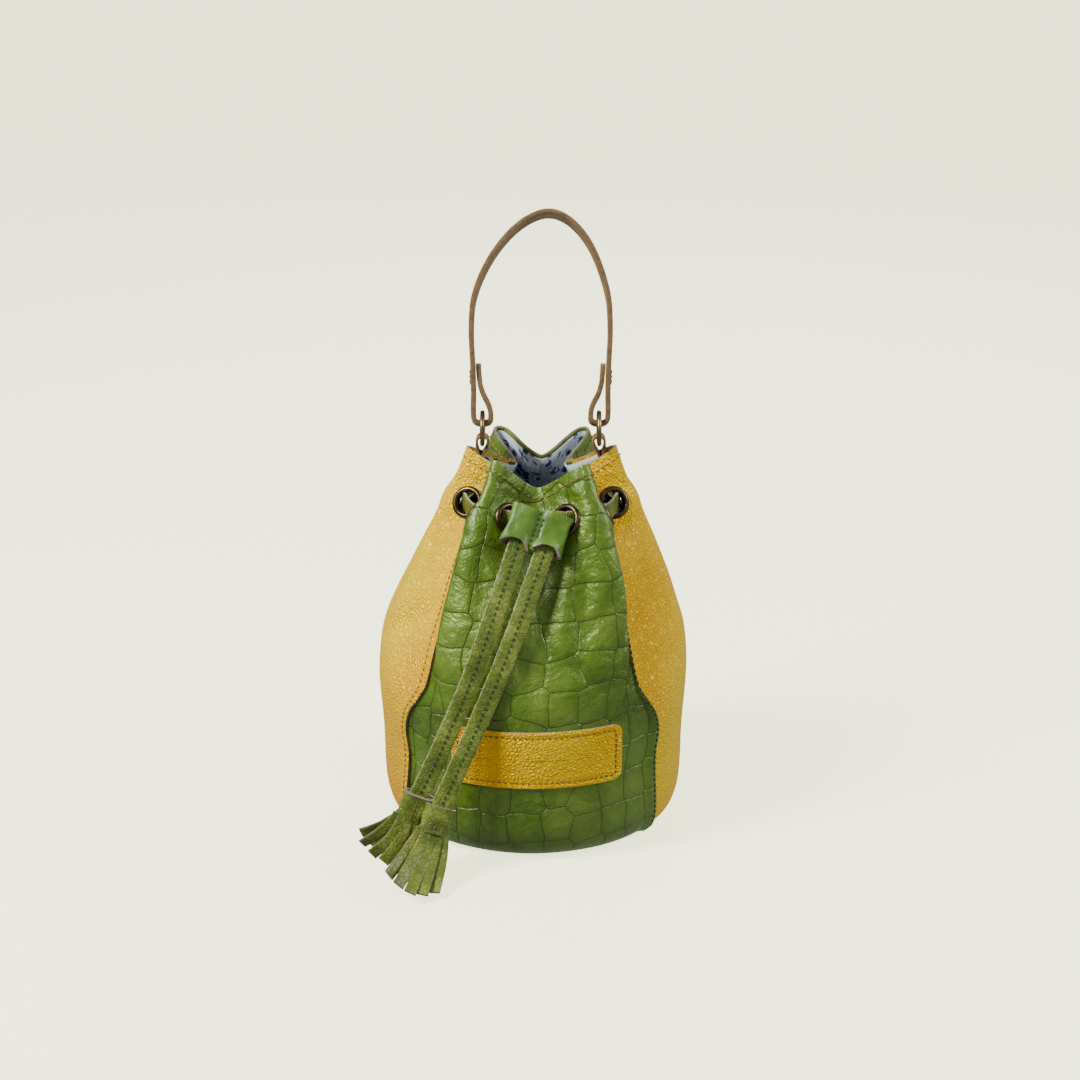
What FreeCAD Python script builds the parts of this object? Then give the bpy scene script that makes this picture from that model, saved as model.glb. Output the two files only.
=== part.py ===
"""Leather drawstring bucket bag: millimetres, +Z up, front towards -Y, origin under the middle of the base."""

import FreeCAD
import Part
import Sketcher
import math
import os

Vector = FreeCAD.Vector

# ---------------------------------------------------------------------------
# Driving dimensions
# ---------------------------------------------------------------------------

SIZES = [
    ("leather", 2.0, "thickness of the wall's leather"),
    ("cloth", 0.8, "thickness of the lining"),
    ("base_radius", 66.0, "base panel, inside the turned edge of the wall"),
    ("base_thick", 2.0, "base panel"),
    ("board_radius", 64.0, "stiffener board"),
    ("board_thick", 1.6, "stiffener board"),
    ("label_width", 90.0, "label, straight across"),
    ("label_shift", 2.3, "label's middle towards +X"),
    ("label_low", 44.5, "label's lower edge above the base"),
    ("label_high", 77.5, "label's upper edge above the base"),
    ("label_thick", 1.2, "label"),
    ("label_corner", 5.0, "label's corner radius"),
    ("string_level", 181.0, "height of the eyelets' centres"),
    ("eyelet_hole", 12.4, "eyelet's bore"),
    ("eyelet_barrel", 13.2, "outside of the eyelet's barrel"),
    ("eyelet_flange", 18.0, "outside of the eyelet's flange"),
    ("washer_flange", 16.8, "outside of the washer"),
    ("flange_thick", 0.9, "eyelet's flange and washer"),
    ("strap_width", 10.4, "drawstring strap"),
    ("strap_thick", 1.8, "drawstring strap"),
    ("strap_pitch", 14.6, "between the two free ends' centre lines"),
    ("slider_width", 33.0, "slider across both channels"),
    ("slider_depth", 8.0, "slider, front to back"),
    ("slider_length", 22.0, "slider along the straps"),
    ("channel_width", 12.6, "slider's channel"),
    ("channel_depth", 4.2, "slider's channel"),
    ("ring_offset", 31.6, "D-rings from the middle plane"),
    ("ring_centre", 219.0, "height of the centre of the D-rings' arcs"),
    ("ring_arc", 9.25, "D-ring's arc, to the wire's centre"),
    ("ring_wire", 2.5, "D-ring's wire"),
    ("ring_drop", 6.25, "D-ring's bar below the arc's centre"),
    ("ring_corner", 2.5, "D-ring's lower corners"),
    ("tab_width", 9.4, "ring tab along the bar"),
    ("tab_leather", 1.4, "ring tab's leather"),
    ("tab_bore", 3.2, "ring tab's loop round the bar"),
    ("tab_tail", 8.5, "ring tab's two sewn layers"),
    ("handle_thick", 2.8, "handle strap"),
    ("handle_width", 17.0, "handle strap along Y"),
    ("handle_end_width", 12.0, "handle strap where it folds round the ring"),
    ("handle_rise", 122.0, "handle's apex above the hinge line"),
    ("handle_spring", 61.0, "handle's arch springs here above the hinge line"),
    ("handle_half", 37.6, "half the handle's width, to the strap's middle"),
    ("handle_top_arc", 24.0, "radius of the arch's crown"),
    ("handle_lean", 22.0, "handle leans back at rest, degrees"),
    ("handle_return", 33.0, "end of the folded-back strap above the hinge line"),
]

doc = FreeCAD.newDocument("bucket_bag")
sheet = doc.addObject("Spreadsheet::Sheet", "Sizes")
for row, (name, value, note) in enumerate(SIZES, start=1):
    sheet.set(f"A{row}", name)
    sheet.set(f"B{row}", str(value))
    sheet.set(f"C{row}", note)
    sheet.setAlias(f"B{row}", name)
doc.recompute()


def size(name):
    """A driving dimension, read from the sheet."""
    return float(getattr(sheet, name))


# The wall is gathered into six lobes. Each spoke is a lobe's ridge or the valley between two lobes:
# its angle from the front, positive towards +X, and the column of WALL that it follows.
SIDE_RIDGE, FACE_RIDGE, FRONT_VALLEY, FRONT_SEAM, BACK_SEAM, BACK_VALLEY, SHIFT = 1, 2, 3, 4, 5, 6, 7
VALLEYS = (FRONT_VALLEY, FRONT_SEAM, BACK_SEAM, BACK_VALLEY)
SPOKES = [
    (-4, FRONT_VALLEY), (34, FACE_RIDGE), (60, FRONT_SEAM), (90, SIDE_RIDGE),
    (118, BACK_SEAM), (143, FACE_RIDGE), (178, BACK_VALLEY), (215, FACE_RIDGE),
    (242, BACK_SEAM), (270, SIDE_RIDGE), (300, FRONT_SEAM), (323, FACE_RIDGE),
]
# Height, then the radius of a side ridge, a front or back ridge, the front valley, a valley over a front
# seam, a valley over a back seam and the back valley, and how far the wall's middle stands towards +X
WALL = [
    (0.0, 71.0, 71.0, 71.0, 71.0, 71.0, 71.0, 0.0),
    (2.5, 75.5, 75.5, 75.5, 75.5, 75.5, 75.5, 0.0),
    (8.0, 80.0, 80.0, 80.0, 80.0, 80.0, 80.0, 0.0),
    (20.0, 83.0, 83.0, 83.0, 83.0, 83.0, 83.0, 0.0),
    (50.0, 84.0, 84.0, 84.0, 84.0, 84.0, 84.0, 0.0),
    (85.0, 86.0, 86.0, 86.0, 86.0, 86.0, 86.0, 0.0),
    (106.0, 83.5, 83.5, 82.5, 82.0, 82.5, 83.0, 0.4),
    (122.0, 79.0, 80.0, 78.0, 76.0, 76.5, 77.5, 1.1),
    (138.0, 73.5, 76.0, 71.0, 68.5, 68.5, 70.0, 2.2),
    (155.0, 66.0, 70.5, 59.5, 57.5, 56.5, 57.5, 3.4),
    (170.0, 58.5, 65.0, 46.0, 45.0, 42.0, 43.0, 4.2),
    (181.0, 53.5, 60.0, 35.0, 35.0, 31.0, 32.0, 4.5),
    (195.0, 46.5, 51.0, 25.0, 25.0, 19.0, 19.0, 4.5),
    (213.0, 40.0, 41.0, 18.0, 18.0, 11.0, 11.0, 4.5),
]
MOUTH_SHIFT = WALL[-1][SHIFT]
RIM_HIGH = 212.0
RIM_DIP = 17.0
SEAM_ANGLES = {
    "front_panel": (300, 420),
    "right_side_panel": (60, 118),
    "back_panel": (118, 242),
    "left_side_panel": (242, 300),
}


def on_plan(angle, radius, height=0.0):
    """A point at an angle from the front, positive towards +X."""
    turn = math.radians(angle)
    return Vector(radius * math.sin(turn), -radius * math.cos(turn), height)


SPAN_STEPS = 6


def wall_point(row, index, share, inset=0.0):
    """A point part of the way from one spoke to the next: square to both spokes where it meets them."""
    angle, column = SPOKES[index]
    next_angle, next_column = SPOKES[(index + 1) % len(SPOKES)]
    start = on_plan(angle, row[column] - inset, row[0])
    end = on_plan(next_angle, row[next_column] - inset, row[0])
    reach = (end - start).Length
    leave = on_plan(angle + 90, reach)
    arrive = on_plan(next_angle + 90, reach)
    cube, square = share ** 3, share ** 2
    point = (start * (2 * cube - 3 * square + 1) + leave * (cube - 2 * square + share)
             + end * (3 * square - 2 * cube) + arrive * (cube - square))
    return point + Vector(row[SHIFT], 0, 0)


def wall_curve(row, inset):
    """The closed outline of the wall at one height, moved inwards by an inset."""
    points = [wall_point(row, index, step / SPAN_STEPS, inset)
              for index in range(len(SPOKES)) for step in range(SPAN_STEPS)]
    curve = Part.BSplineCurve()
    curve.interpolate(Points=points, PeriodicFlag=True)
    return curve


def wall_solid(inset, low=0.0):
    """The bag's full volume inside an inset, closed at the base and above the rim."""
    rows = [row for row in WALL if row[0] >= low]
    wires = [Part.Wire([wall_curve(row, inset).toShape()]) for row in rows]
    return Part.makeLoft(wires, True, False)


def part_feature(label, shape):
    """A sub-part whose shape is built with Part's own functions."""
    feature = doc.addObject("Part::Feature", label)
    feature.Label = label
    feature.Shape = shape
    return feature


def body_plane(body, role):
    """One of a body's own origin planes."""
    return next(item for item in body.Origin.OriginFeatures if item.Role == role)


def new_body(label):
    """An empty PartDesign body."""
    body = doc.addObject("PartDesign::Body", label)
    body.Label = label
    return body


def sketch_on(body, role, name):
    """A sketch on one of a body's own origin planes."""
    sketch = body.newObject("Sketcher::SketchObject", name)
    sketch.AttachmentSupport = (body_plane(body, role), [""])
    sketch.MapMode = "FlatFace"
    return sketch


def add_circle(sketch, radius_expression):
    """A circle about the sketch's origin with its radius bound to the sheet."""
    index = sketch.addGeometry(Part.Circle(Vector(0, 0, 0), Vector(0, 0, 1), 10.0))
    sketch.addConstraint(Sketcher.Constraint("Coincident", index, 3, -1, 1))
    number = sketch.addConstraint(Sketcher.Constraint("Radius", index, 10.0))
    sketch.setExpression(f"Constraints[{number}]", radius_expression)


def padded(label, role, draw, length_expression, midplane=False):
    """A body of one sketch padded by a length from the sheet."""
    body = new_body(label)
    sketch = sketch_on(body, role, label + "_sketch")
    draw(sketch)
    pad = body.newObject("PartDesign::Pad", label + "_pad")
    pad.Profile = sketch
    pad.setExpression("Length", length_expression)
    if midplane:
        pad.SideType = "Symmetric"
    body.Tip = pad
    return body


def frame_placement(origin, x_axis, y_axis, z_axis):
    """The placement that carries the model's axes onto three given ones."""
    matrix = FreeCAD.Matrix(
        x_axis.x, y_axis.x, z_axis.x, origin.x,
        x_axis.y, y_axis.y, z_axis.y, origin.y,
        x_axis.z, y_axis.z, z_axis.z, origin.z,
        0, 0, 0, 1)
    return FreeCAD.Placement(matrix)


# ---------------------------------------------------------------------------
# Wall, lining and base
# ---------------------------------------------------------------------------

leather = size("leather")
cloth = size("cloth")
level = size("string_level")
GAP = 0.05


def rim_cutter():
    """Six horizontal cylinders that dip the rim at each valley, and all that lies above the ridges."""
    cutter = Part.makeBox(200, 200, 20, Vector(-100, -100, RIM_HIGH))
    for angle, column in SPOKES:
        if column in VALLEYS:
            start = Vector(MOUTH_SHIFT, 0, RIM_HIGH)
            notch = Part.makeCylinder(RIM_DIP, 90, start, on_plan(angle, 1.0))
            cutter = cutter.fuse(notch)
    return cutter


def level_row():
    """The wall's radii at the eyelets."""
    return next(row for row in WALL if row[0] == level)


# How far each eyelet stands from its spoke to the next one
HOLE_SHARES = (0.42, 0.5, 0.37, 0.5, 0.5, 0.5, 0.5, 0.5, 0.5, 0.63, 0.5, 0.6)
HOLE_RISE = 0.45


def hole_frames():
    """Centre and outward normal of the twelve eyelets, from the front valley towards +X and round."""
    frames = []
    for index in range(len(SPOKES)):
        centre = wall_point(level_row(), index, HOLE_SHARES[index])
        along = wall_point(level_row(), index, HOLE_SHARES[index] + 0.01) - centre
        outward = along.cross(Vector(0, 0, 1)).normalize()
        frames.append((centre, (outward + Vector(0, 0, HOLE_RISE)).normalize()))
    return frames


HOLES = hole_frames()
HOLE_GROUPS = {
    "front": (10, 11, 0, 1),
    "right_side": (2, 3),
    "back": (4, 5, 6, 7),
    "left_side": (8, 9),
}


def hole_cutter():
    """The twelve bores through leather and lining."""
    tools = []
    for centre, outward in HOLES:
        start = centre - outward * 7
        tools.append(Part.makeCylinder(size("eyelet_barrel") / 2 + GAP, 14, start, outward))
    return Part.makeCompound(tools)


def sector(start, end):
    """A wedge about the wall's middle line between two angles from the front."""
    reach = 150.0
    middle = (start + end) / 2
    levels = [(-1.0, 0.0), (WALL[5][0], 0.0), (level, MOUTH_SHIFT), (240.0, MOUTH_SHIFT)]
    parts = []
    for (low, shift), (high, next_shift) in zip(levels, levels[1:]):
        corners = [Vector(0, 0, low)] + [on_plan(angle, reach, low) for angle in (start, middle, end)]
        corners = [corner + Vector(shift, 0, 0) for corner in corners]
        base = Part.Face(Part.makePolygon(corners + corners[:1]))
        parts.append(base.extrude(Vector(next_shift - shift, 0, high - low)))
    return parts[0].fuse(parts[1:])


rim_tool = rim_cutter()
hole_tool = hole_cutter()
outer_volume = wall_solid(0.0)
inner_volume = wall_solid(leather)
wall_shell = outer_volume.cut(inner_volume).cut(rim_tool).cut(hole_tool)
floor_rim = Part.makeCylinder(120, size("base_thick"))
floor_rim = floor_rim.common(outer_volume)
floor_rim = floor_rim.cut(Part.makeCylinder(size("base_radius"), size("base_thick")))
wall_shell = wall_shell.fuse(floor_rim)
for panel, (start, end) in SEAM_ANGLES.items():
    part_feature(panel, wall_shell.common(sector(start, end)))

padded("base_panel", "XY_Plane", lambda sketch: add_circle(sketch, "Sizes.base_radius - 0.05"),
       "Sizes.base_thick")
board = padded("base_stiffener", "XY_Plane", lambda sketch: add_circle(sketch, "Sizes.board_radius"),
               "Sizes.board_thick")
board.setExpression("Placement.Base.z", "Sizes.base_thick + 0.05")
lining_floor = size("base_thick") + size("board_thick") + 0.1
base_cloth = padded("lining_base", "XY_Plane", lambda sketch: add_circle(sketch, "Sizes.board_radius"),
                    "Sizes.cloth")
base_cloth.setExpression("Placement.Base.z", "Sizes.base_thick + Sizes.board_thick + 0.1")

lining_outer = wall_solid(leather + GAP)
lining_inner = wall_solid(leather + GAP + cloth)
# The cloth's cut edge stops this far under the leather's rim
LINING_STEP = 0.3
lining_rim = rim_tool.copy()
lining_rim.translate(Vector(0, 0, -LINING_STEP))
lining = lining_outer.cut(lining_inner).cut(lining_rim).cut(hole_tool)
lining = lining.common(Part.makeBox(240, 240, 220, Vector(-120, -120, lining_floor)))
part_feature("lining_wall", lining)


# ---------------------------------------------------------------------------
# Label
# ---------------------------------------------------------------------------

def label_block():
    """A rounded rectangle run straight back through the front of the bag."""
    half = size("label_width") / 2
    tall = size("label_high") - size("label_low")
    corner = Vector(size("label_shift") - half, -100, size("label_low"))
    block = Part.makeBox(2 * half, 60, tall, corner)
    corners = [edge for edge in block.Edges if abs(edge.tangentAt(edge.FirstParameter).y) > 0.99]
    return block.makeFillet(size("label_corner"), corners)


label_skin = wall_solid(-GAP - size("label_thick")).common(label_block())
part_feature("label_patch", label_skin.cut(wall_solid(-GAP)))


# ---------------------------------------------------------------------------
# Eyelets and washers
# ---------------------------------------------------------------------------

def ring_piece(outer, inner, low, high):
    """A flat ring about Z."""
    disc = Part.makeCylinder(outer / 2, high - low, Vector(0, 0, low))
    return disc.cut(Part.makeCylinder(inner / 2, high - low, Vector(0, 0, low)))


FLANGE_SEAT = 0.7
WASHER_SEAT = -3.2


def eyelet_shape():
    """Barrel and rounded flange, the flange's back at its seat above the wall."""
    bore = size("eyelet_hole")
    thick = size("flange_thick")
    flange = ring_piece(size("eyelet_flange"), bore, FLANGE_SEAT, FLANGE_SEAT + thick)
    rims = [edge for edge in flange.Edges if abs(edge.Length - math.pi * size("eyelet_flange")) < 0.01]
    flange = flange.makeFillet(thick * 0.6, [rim for rim in rims if rim.CenterOfMass.z > FLANGE_SEAT + 0.1])
    barrel = ring_piece(size("eyelet_barrel"), bore, WASHER_SEAT - thick, FLANGE_SEAT)
    return flange.fuse(barrel).removeSplitter()


def washer_shape():
    """The flat ring that closes an eyelet on the lining's side."""
    bore = size("eyelet_barrel") + 0.06
    return ring_piece(size("washer_flange"), bore, WASHER_SEAT - size("flange_thick"), WASHER_SEAT)


def seated(shape, centre, outward):
    """A copy of a shape with its Z axis on an eyelet's normal."""
    copy = shape.copy()
    copy.Placement = FreeCAD.Placement(centre, FreeCAD.Rotation(Vector(0, 0, 1), outward))
    return copy


eyelet = eyelet_shape()
washer = washer_shape()
for group, numbers in HOLE_GROUPS.items():
    places = [HOLES[number] for number in numbers]
    part_feature(group + "_eyelets", Part.makeCompound([seated(eyelet, *place) for place in places]))
    part_feature(group + "_washers", Part.makeCompound([seated(washer, *place) for place in places]))


# ---------------------------------------------------------------------------
# Drawstring: flat ribbons of straight runs joined by tangent arcs
# ---------------------------------------------------------------------------

ARC_SHARE = 0.45


def ribbon_path(points):
    """Line and arc pieces of a route, each with its end points and unit tangents."""
    pieces = []
    here = points[0]
    for before, corner, after in zip(points, points[1:], points[2:]):
        into = (corner - before).normalize()
        out = (after - corner).normalize()
        turn = into.getAngle(out)
        shorter = min((corner - before).Length, (after - corner).Length)
        radius = ARC_SHARE * shorter / math.tan(turn / 2)
        start = corner - into * (ARC_SHARE * shorter)
        end = corner + out * (ARC_SHARE * shorter)
        middle_way = (out - into).normalize()
        middle = corner + middle_way * (radius / math.cos(turn / 2) - radius)
        pieces.append(("line", [(here, into), (start, into)]))
        pieces.append(("arc", [(start, into), (middle, (into + out).normalize()), (end, out)]))
        print(f"  turn {math.degrees(turn):5.1f} deg, radius {radius:6.1f} mm")
        here = end
    last = (points[-1] - points[-2]).normalize()
    pieces.append(("line", [(here, last), (points[-1], last)]))
    return pieces


def ribbon(points, thick, width, across):
    """A flat strap along a route that lies in the plane square to its width's direction."""
    pieces = ribbon_path(points)

    def side(offset, reverse):
        edges = []
        for kind, stations in pieces:
            moved = [point + across.cross(tangent).normalize() * offset for point, tangent in stations]
            if kind == "line":
                edges.append(Part.LineSegment(moved[0], moved[1]).toShape())
            else:
                edges.append(Part.Arc(moved[0], moved[1], moved[2]).toShape())
        if reverse:
            edges.reverse()
        return edges

    left = side(thick / 2, False)
    right = side(-thick / 2, True)
    first = pieces[0][1][0]
    last = pieces[-1][1][-1]

    def corner(station, offset):
        point, tangent = station
        return point + across.cross(tangent).normalize() * offset

    end_cap = Part.LineSegment(corner(last, thick / 2), corner(last, -thick / 2)).toShape()
    start_cap = Part.LineSegment(corner(first, -thick / 2), corner(first, thick / 2)).toShape()
    wire = Part.Wire(Part.__sortEdges__(left + [end_cap] + right + [start_cap]))
    face = Part.Face(wire)
    face.translate(across * (-width / 2))
    solid = face.extrude(across * width)
    length = sum(Part.LineSegment(s[0][0], s[1][0]).length() if kind == "line"
                 else Part.Arc(s[0][0], s[1][0], s[2][0]).length() for kind, s in pieces)
    print(f"  length {length:.1f} mm, volume {solid.Volume:.0f} against {length * thick * width:.0f} mm3")
    return solid


strap_width = size("strap_width")
strap_thick = size("strap_thick")

# The strap runs straight from eyelet to eyelet, and its arcs cut each corner, so the corners stand out a little
LOOP_PROUD = 1.6
loop_route = []
for index in range(1, 11):
    hole = HOLES[index][0]
    out = Vector(hole.x, hole.y, 0).normalize()
    loop_route.append(hole + out * LOOP_PROUD)
first_hole, first_out = HOLES[0]
last_hole, last_out = HOLES[11]
LEAD_OUT = 1.0
enter = (loop_route[0] - first_hole).normalize()
leave = (last_hole - loop_route[-1]).normalize()
loop_route = [first_hole - enter * LEAD_OUT] + loop_route + [last_hole + leave * LEAD_OUT]
print("drawstring_loop")
part_feature("drawstring_loop", ribbon(loop_route, strap_thick, strap_width, Vector(0, 0, 1)))

# The free ends hang down the front of the bag, in one plane that leans to -X on the way down
HANG_LEAN = 22.0
lean = math.radians(HANG_LEAN)
down = Vector(-math.sin(lean), 0, -math.cos(lean))
across = Vector(math.cos(lean), 0, -math.sin(lean))
HANG_TOP = Vector(5.9, 0, 188.0)
# Distance down the plane, and Y
HANG_ROUTE = [(0.0, -50.0), (52.0, -77.5), (107.0, -88.5), (161.0, -94.0)]


def hang_point(run, depth, shift):
    """A point of a free end: run down the plane, shift along the strap's width."""
    return HANG_TOP + down * run + across * shift + Vector(0, depth, 0)


def hang_route(shift):
    """The centre line of a free end."""
    return [hang_point(run, depth, shift) for run, depth in HANG_ROUTE]


half_pitch = size("strap_pitch") / 2
for label, shift in (("drawstring_end_left", -half_pitch), ("drawstring_end_right", half_pitch)):
    print(label)
    part_feature(label, ribbon(hang_route(shift), strap_thick, strap_width, across))

# ---------------------------------------------------------------------------
# Slider
# ---------------------------------------------------------------------------

def stadium(sketch, centre_x, width, depth):
    """A slot outline with round ends, about a point on the sketch's X axis."""
    radius = depth / 2
    reach = width / 2 - radius
    left = Vector(centre_x - reach, 0, 0)
    right = Vector(centre_x + reach, 0, 0)
    rise = Vector(0, radius, 0)
    up = Vector(0, 0, 1)
    sketch.addGeometry(Part.LineSegment(left + rise, right + rise))
    sketch.addGeometry(Part.LineSegment(right - rise, left - rise))
    sketch.addGeometry(Part.ArcOfCircle(Part.Circle(right, up, radius), -math.pi / 2, math.pi / 2))
    sketch.addGeometry(Part.ArcOfCircle(Part.Circle(left, up, radius), math.pi / 2, 3 * math.pi / 2))


def draw_slider(sketch):
    """The sleeve's section: one outline and two channels."""
    stadium(sketch, 0, size("slider_width"), size("slider_depth"))
    for side in (-half_pitch, half_pitch):
        stadium(sketch, side, size("channel_width"), size("channel_depth"))


slider = padded("slider", "XY_Plane", draw_slider, "Sizes.slider_length")
slide_way = (hang_point(*HANG_ROUTE[1], 0) - hang_point(*HANG_ROUTE[0], 0)).normalize()
slide_back = slide_way.cross(across).normalize()
slider.Placement = frame_placement(hang_point(*HANG_ROUTE[0], 0), across, slide_back, slide_way)


# ---------------------------------------------------------------------------
# Tassels: a flat roll of leather round each strap's end, then a fringe that spreads to the floor
# ---------------------------------------------------------------------------

def oval(centre, width, depth, wide, thin):
    """A flat oval outline with its long axis along wide and its short axis along thin."""
    points = []
    for step in range(12):
        turn = 2 * math.pi * step / 12
        points.append(centre + wide * (width / 2 * math.cos(turn)) + thin * (depth / 2 * math.sin(turn)))
    curve = Part.BSplineCurve()
    curve.interpolate(Points=points, PeriodicFlag=True)
    return Part.Wire([curve.toShape()])


def tassel(start, stations):
    """Ovals through stations of centre, width, depth and tilt of the thin axis, lofted."""
    wires = []
    for centre, width, depth, thin in stations:
        thin_way = Vector(*thin).normalize()
        wires.append(oval(start + Vector(*centre), width, depth, across, thin_way))
    return Part.makeLoft(wires, True, False)


TASSELS = {
    "tassel_left": (-half_pitch, [
        ((0, 0, 0), 13.8, 7.0, (0, 1, 0)),
        ((-6, -1, -13), 15.0, 7.0, (0, 1, -0.15)),
        ((-15, -1.5, -24), 20.0, 8.0, (0, 1, -0.2)),
        ((-26, -2, -32), 24.0, 7.0, (-0.35, 1, 0)),
    ]),
    "tassel_right": (half_pitch, [
        ((0, 0, 0), 13.8, 7.0, (0, 1, 0.1)),
        ((-3, -6, -12), 15.0, 7.0, (0, 1, -0.5)),
        ((-9, -18, -20), 21.0, 8.0, (0, 0.7, -1)),
        ((-17, -38, -26), 26.0, 4.5, (0, 0.25, -1)),
    ]),
}
for label, (shift, stations) in TASSELS.items():
    start = hang_point(*HANG_ROUTE[-1], shift) + Vector(0, 0, -0.6)
    part_feature(label, tassel(start, stations))


# ---------------------------------------------------------------------------
# D-rings and their tabs
# ---------------------------------------------------------------------------

def ring_wire_path():
    """The D's centre line in the YZ plane about the arc's centre."""
    arc = size("ring_arc")
    drop = size("ring_drop")
    corner = size("ring_corner")
    middle = corner * (1 - math.sqrt(0.5))
    low = -drop
    edges = [
        Part.Arc(Vector(0, arc, 0), Vector(0, 0, arc), Vector(0, -arc, 0)).toShape(),
        Part.LineSegment(Vector(0, -arc, 0), Vector(0, -arc, low + corner)).toShape(),
        Part.Arc(Vector(0, -arc, low + corner), Vector(0, -arc + middle, low + middle),
                 Vector(0, -arc + corner, low)).toShape(),
        Part.LineSegment(Vector(0, -arc + corner, low), Vector(0, arc - corner, low)).toShape(),
        Part.Arc(Vector(0, arc - corner, low), Vector(0, arc - middle, low + middle),
                 Vector(0, arc, low + corner)).toShape(),
        Part.LineSegment(Vector(0, arc, low + corner), Vector(0, arc, 0)).toShape(),
    ]
    return Part.Wire(edges)


def ring_shape():
    """Round wire swept round the D."""
    profile = Part.Wire([Part.Circle(Vector(0, size("ring_arc"), 0), Vector(0, 0, 1),
                                     size("ring_wire") / 2).toShape()])
    return ring_wire_path().makePipeShell([profile], True, True)


def draw_tab(sketch):
    """The tab's section: a round loop, two layers running down to a blunt end, and the bore."""
    outer = size("tab_bore") / 2 + size("tab_leather")
    half = size("tab_leather")
    tail = -outer - size("tab_tail")
    join = math.asin(half / outer)
    low = -outer * math.cos(join)
    up = Vector(0, 0, 1)
    sketch.addGeometry(Part.ArcOfCircle(Part.Circle(Vector(0, 0, 0), up, outer),
                                        -math.pi / 2 + join, 3 * math.pi / 2 - join))
    sketch.addGeometry(Part.LineSegment(Vector(-half, low, 0), Vector(-half, tail, 0)))
    sketch.addGeometry(Part.LineSegment(Vector(-half, tail, 0), Vector(half, tail, 0)))
    sketch.addGeometry(Part.LineSegment(Vector(half, tail, 0), Vector(half, low, 0)))
    sketch.addGeometry(Part.Circle(Vector(0, 0, 0), up, size("tab_bore") / 2))


TAB_SLANT = 8.0
bar_height = size("ring_centre") - size("ring_drop")
for side, sign in (("left", -1), ("right", 1)):
    ring = part_feature(side + "_ring", ring_shape())
    ring_x = MOUTH_SHIFT + sign * size("ring_offset")
    ring.Placement = FreeCAD.Placement(Vector(ring_x, 0, size("ring_centre")),
                                       FreeCAD.Rotation())
    tab = padded(side + "_ring_tab", "XZ_Plane", draw_tab, "Sizes.tab_width", midplane=True)
    tab.Placement = FreeCAD.Placement(Vector(ring_x, 0, bar_height),
                                      FreeCAD.Rotation(Vector(0, 1, 0), -sign * TAB_SLANT))


# ---------------------------------------------------------------------------
# Handle
# ---------------------------------------------------------------------------

LOOP_BORE = 3.05
LOOP_RISE = 8.2
LOOP_TIP = 19.0


def handle_arch(offset):
    """Crown and side radii, their centres and the angle where they join, for one face of the strap."""
    half = size("handle_half")
    crown = size("handle_top_arc")
    rise = size("handle_rise") - size("handle_spring")
    drop = rise - crown
    side = (half ** 2 + drop ** 2 - crown ** 2) / (2 * (half - crown))
    centre_top = Vector(0, size("handle_spring") + drop, 0)
    join = math.atan2(drop, side - half)
    return crown + offset, side + offset, centre_top, side - half, join


def draw_handle(sketch):
    """The handle from the side: arch, legs, folded-back ends and the slots that the rings pass through."""
    up = Vector(0, 0, 1)
    half_thick = size("handle_thick") / 2
    spring = size("handle_spring")
    ring_x = size("ring_offset")
    outer_radius = LOOP_BORE + size("handle_thick")
    for sign in (-1, 1):
        # outer and inner faces of the arch, from the springing to the crown
        for offset in (half_thick, -half_thick):
            crown, side, top, reach, join = handle_arch(offset)
            centre = Vector(-sign * reach, spring, 0)
            if sign > 0:
                sketch.addGeometry(Part.ArcOfCircle(Part.Circle(centre, up, side), 0, join))
                sketch.addGeometry(Part.ArcOfCircle(Part.Circle(top, up, crown), join, math.pi / 2))
            else:
                sketch.addGeometry(Part.ArcOfCircle(Part.Circle(centre, up, side), math.pi - join, math.pi))
                sketch.addGeometry(Part.ArcOfCircle(Part.Circle(top, up, crown), math.pi / 2, math.pi - join))
        arch_outer = size("handle_half") + half_thick
        arch_inner = size("handle_half") - half_thick
        fold_end = size("handle_return")
        inner_face = ring_x - outer_radius + 0.6
        step_in = ring_x + 0.9
        corners = [
            Vector(sign * arch_outer, spring, 0),
            Vector(sign * (ring_x + outer_radius), LOOP_RISE, 0),
        ]
        sketch.addGeometry(Part.LineSegment(corners[0], corners[1]))
        centre = Vector(sign * ring_x, LOOP_RISE, 0)
        sketch.addGeometry(Part.ArcOfCircle(Part.Circle(centre, up, outer_radius), math.pi, 2 * math.pi))
        climb = [
            Vector(sign * (ring_x - outer_radius), LOOP_RISE, 0),
            Vector(sign * inner_face, fold_end, 0),
            Vector(sign * step_in, fold_end, 0),
            Vector(sign * arch_inner, spring, 0),
        ]
        for low, high in zip(climb, climb[1:]):
            sketch.addGeometry(Part.LineSegment(low, high))
        # slot round the ring's wire, running up to a point
        tip = Vector(sign * (ring_x + 0.6), LOOP_TIP, 0)
        sketch.addGeometry(Part.ArcOfCircle(Part.Circle(centre, up, LOOP_BORE), math.pi, 2 * math.pi))
        sketch.addGeometry(Part.LineSegment(centre + Vector(LOOP_BORE, 0, 0), tip))
        sketch.addGeometry(Part.LineSegment(tip, centre - Vector(LOOP_BORE, 0, 0)))


handle = padded("handle_strap", "XZ_Plane", draw_handle, "Sizes.handle_width", midplane=True)
NARROW_TOP = 38.0


def draw_narrowing(sketch):
    """Two rectangles outside the folded ends, seen from the side of the legs."""
    narrow = size("handle_end_width") / 2
    wide = size("handle_width") / 2 + 1
    low = -2.0
    for sign in (-1, 1):
        corners = [Vector(sign * narrow, low, 0), Vector(sign * wide, low, 0),
                   Vector(sign * wide, NARROW_TOP, 0), Vector(sign * narrow, NARROW_TOP - 8, 0)]
        for start, end in zip(corners, corners[1:] + corners[:1]):
            sketch.addGeometry(Part.LineSegment(start, end))


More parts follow.
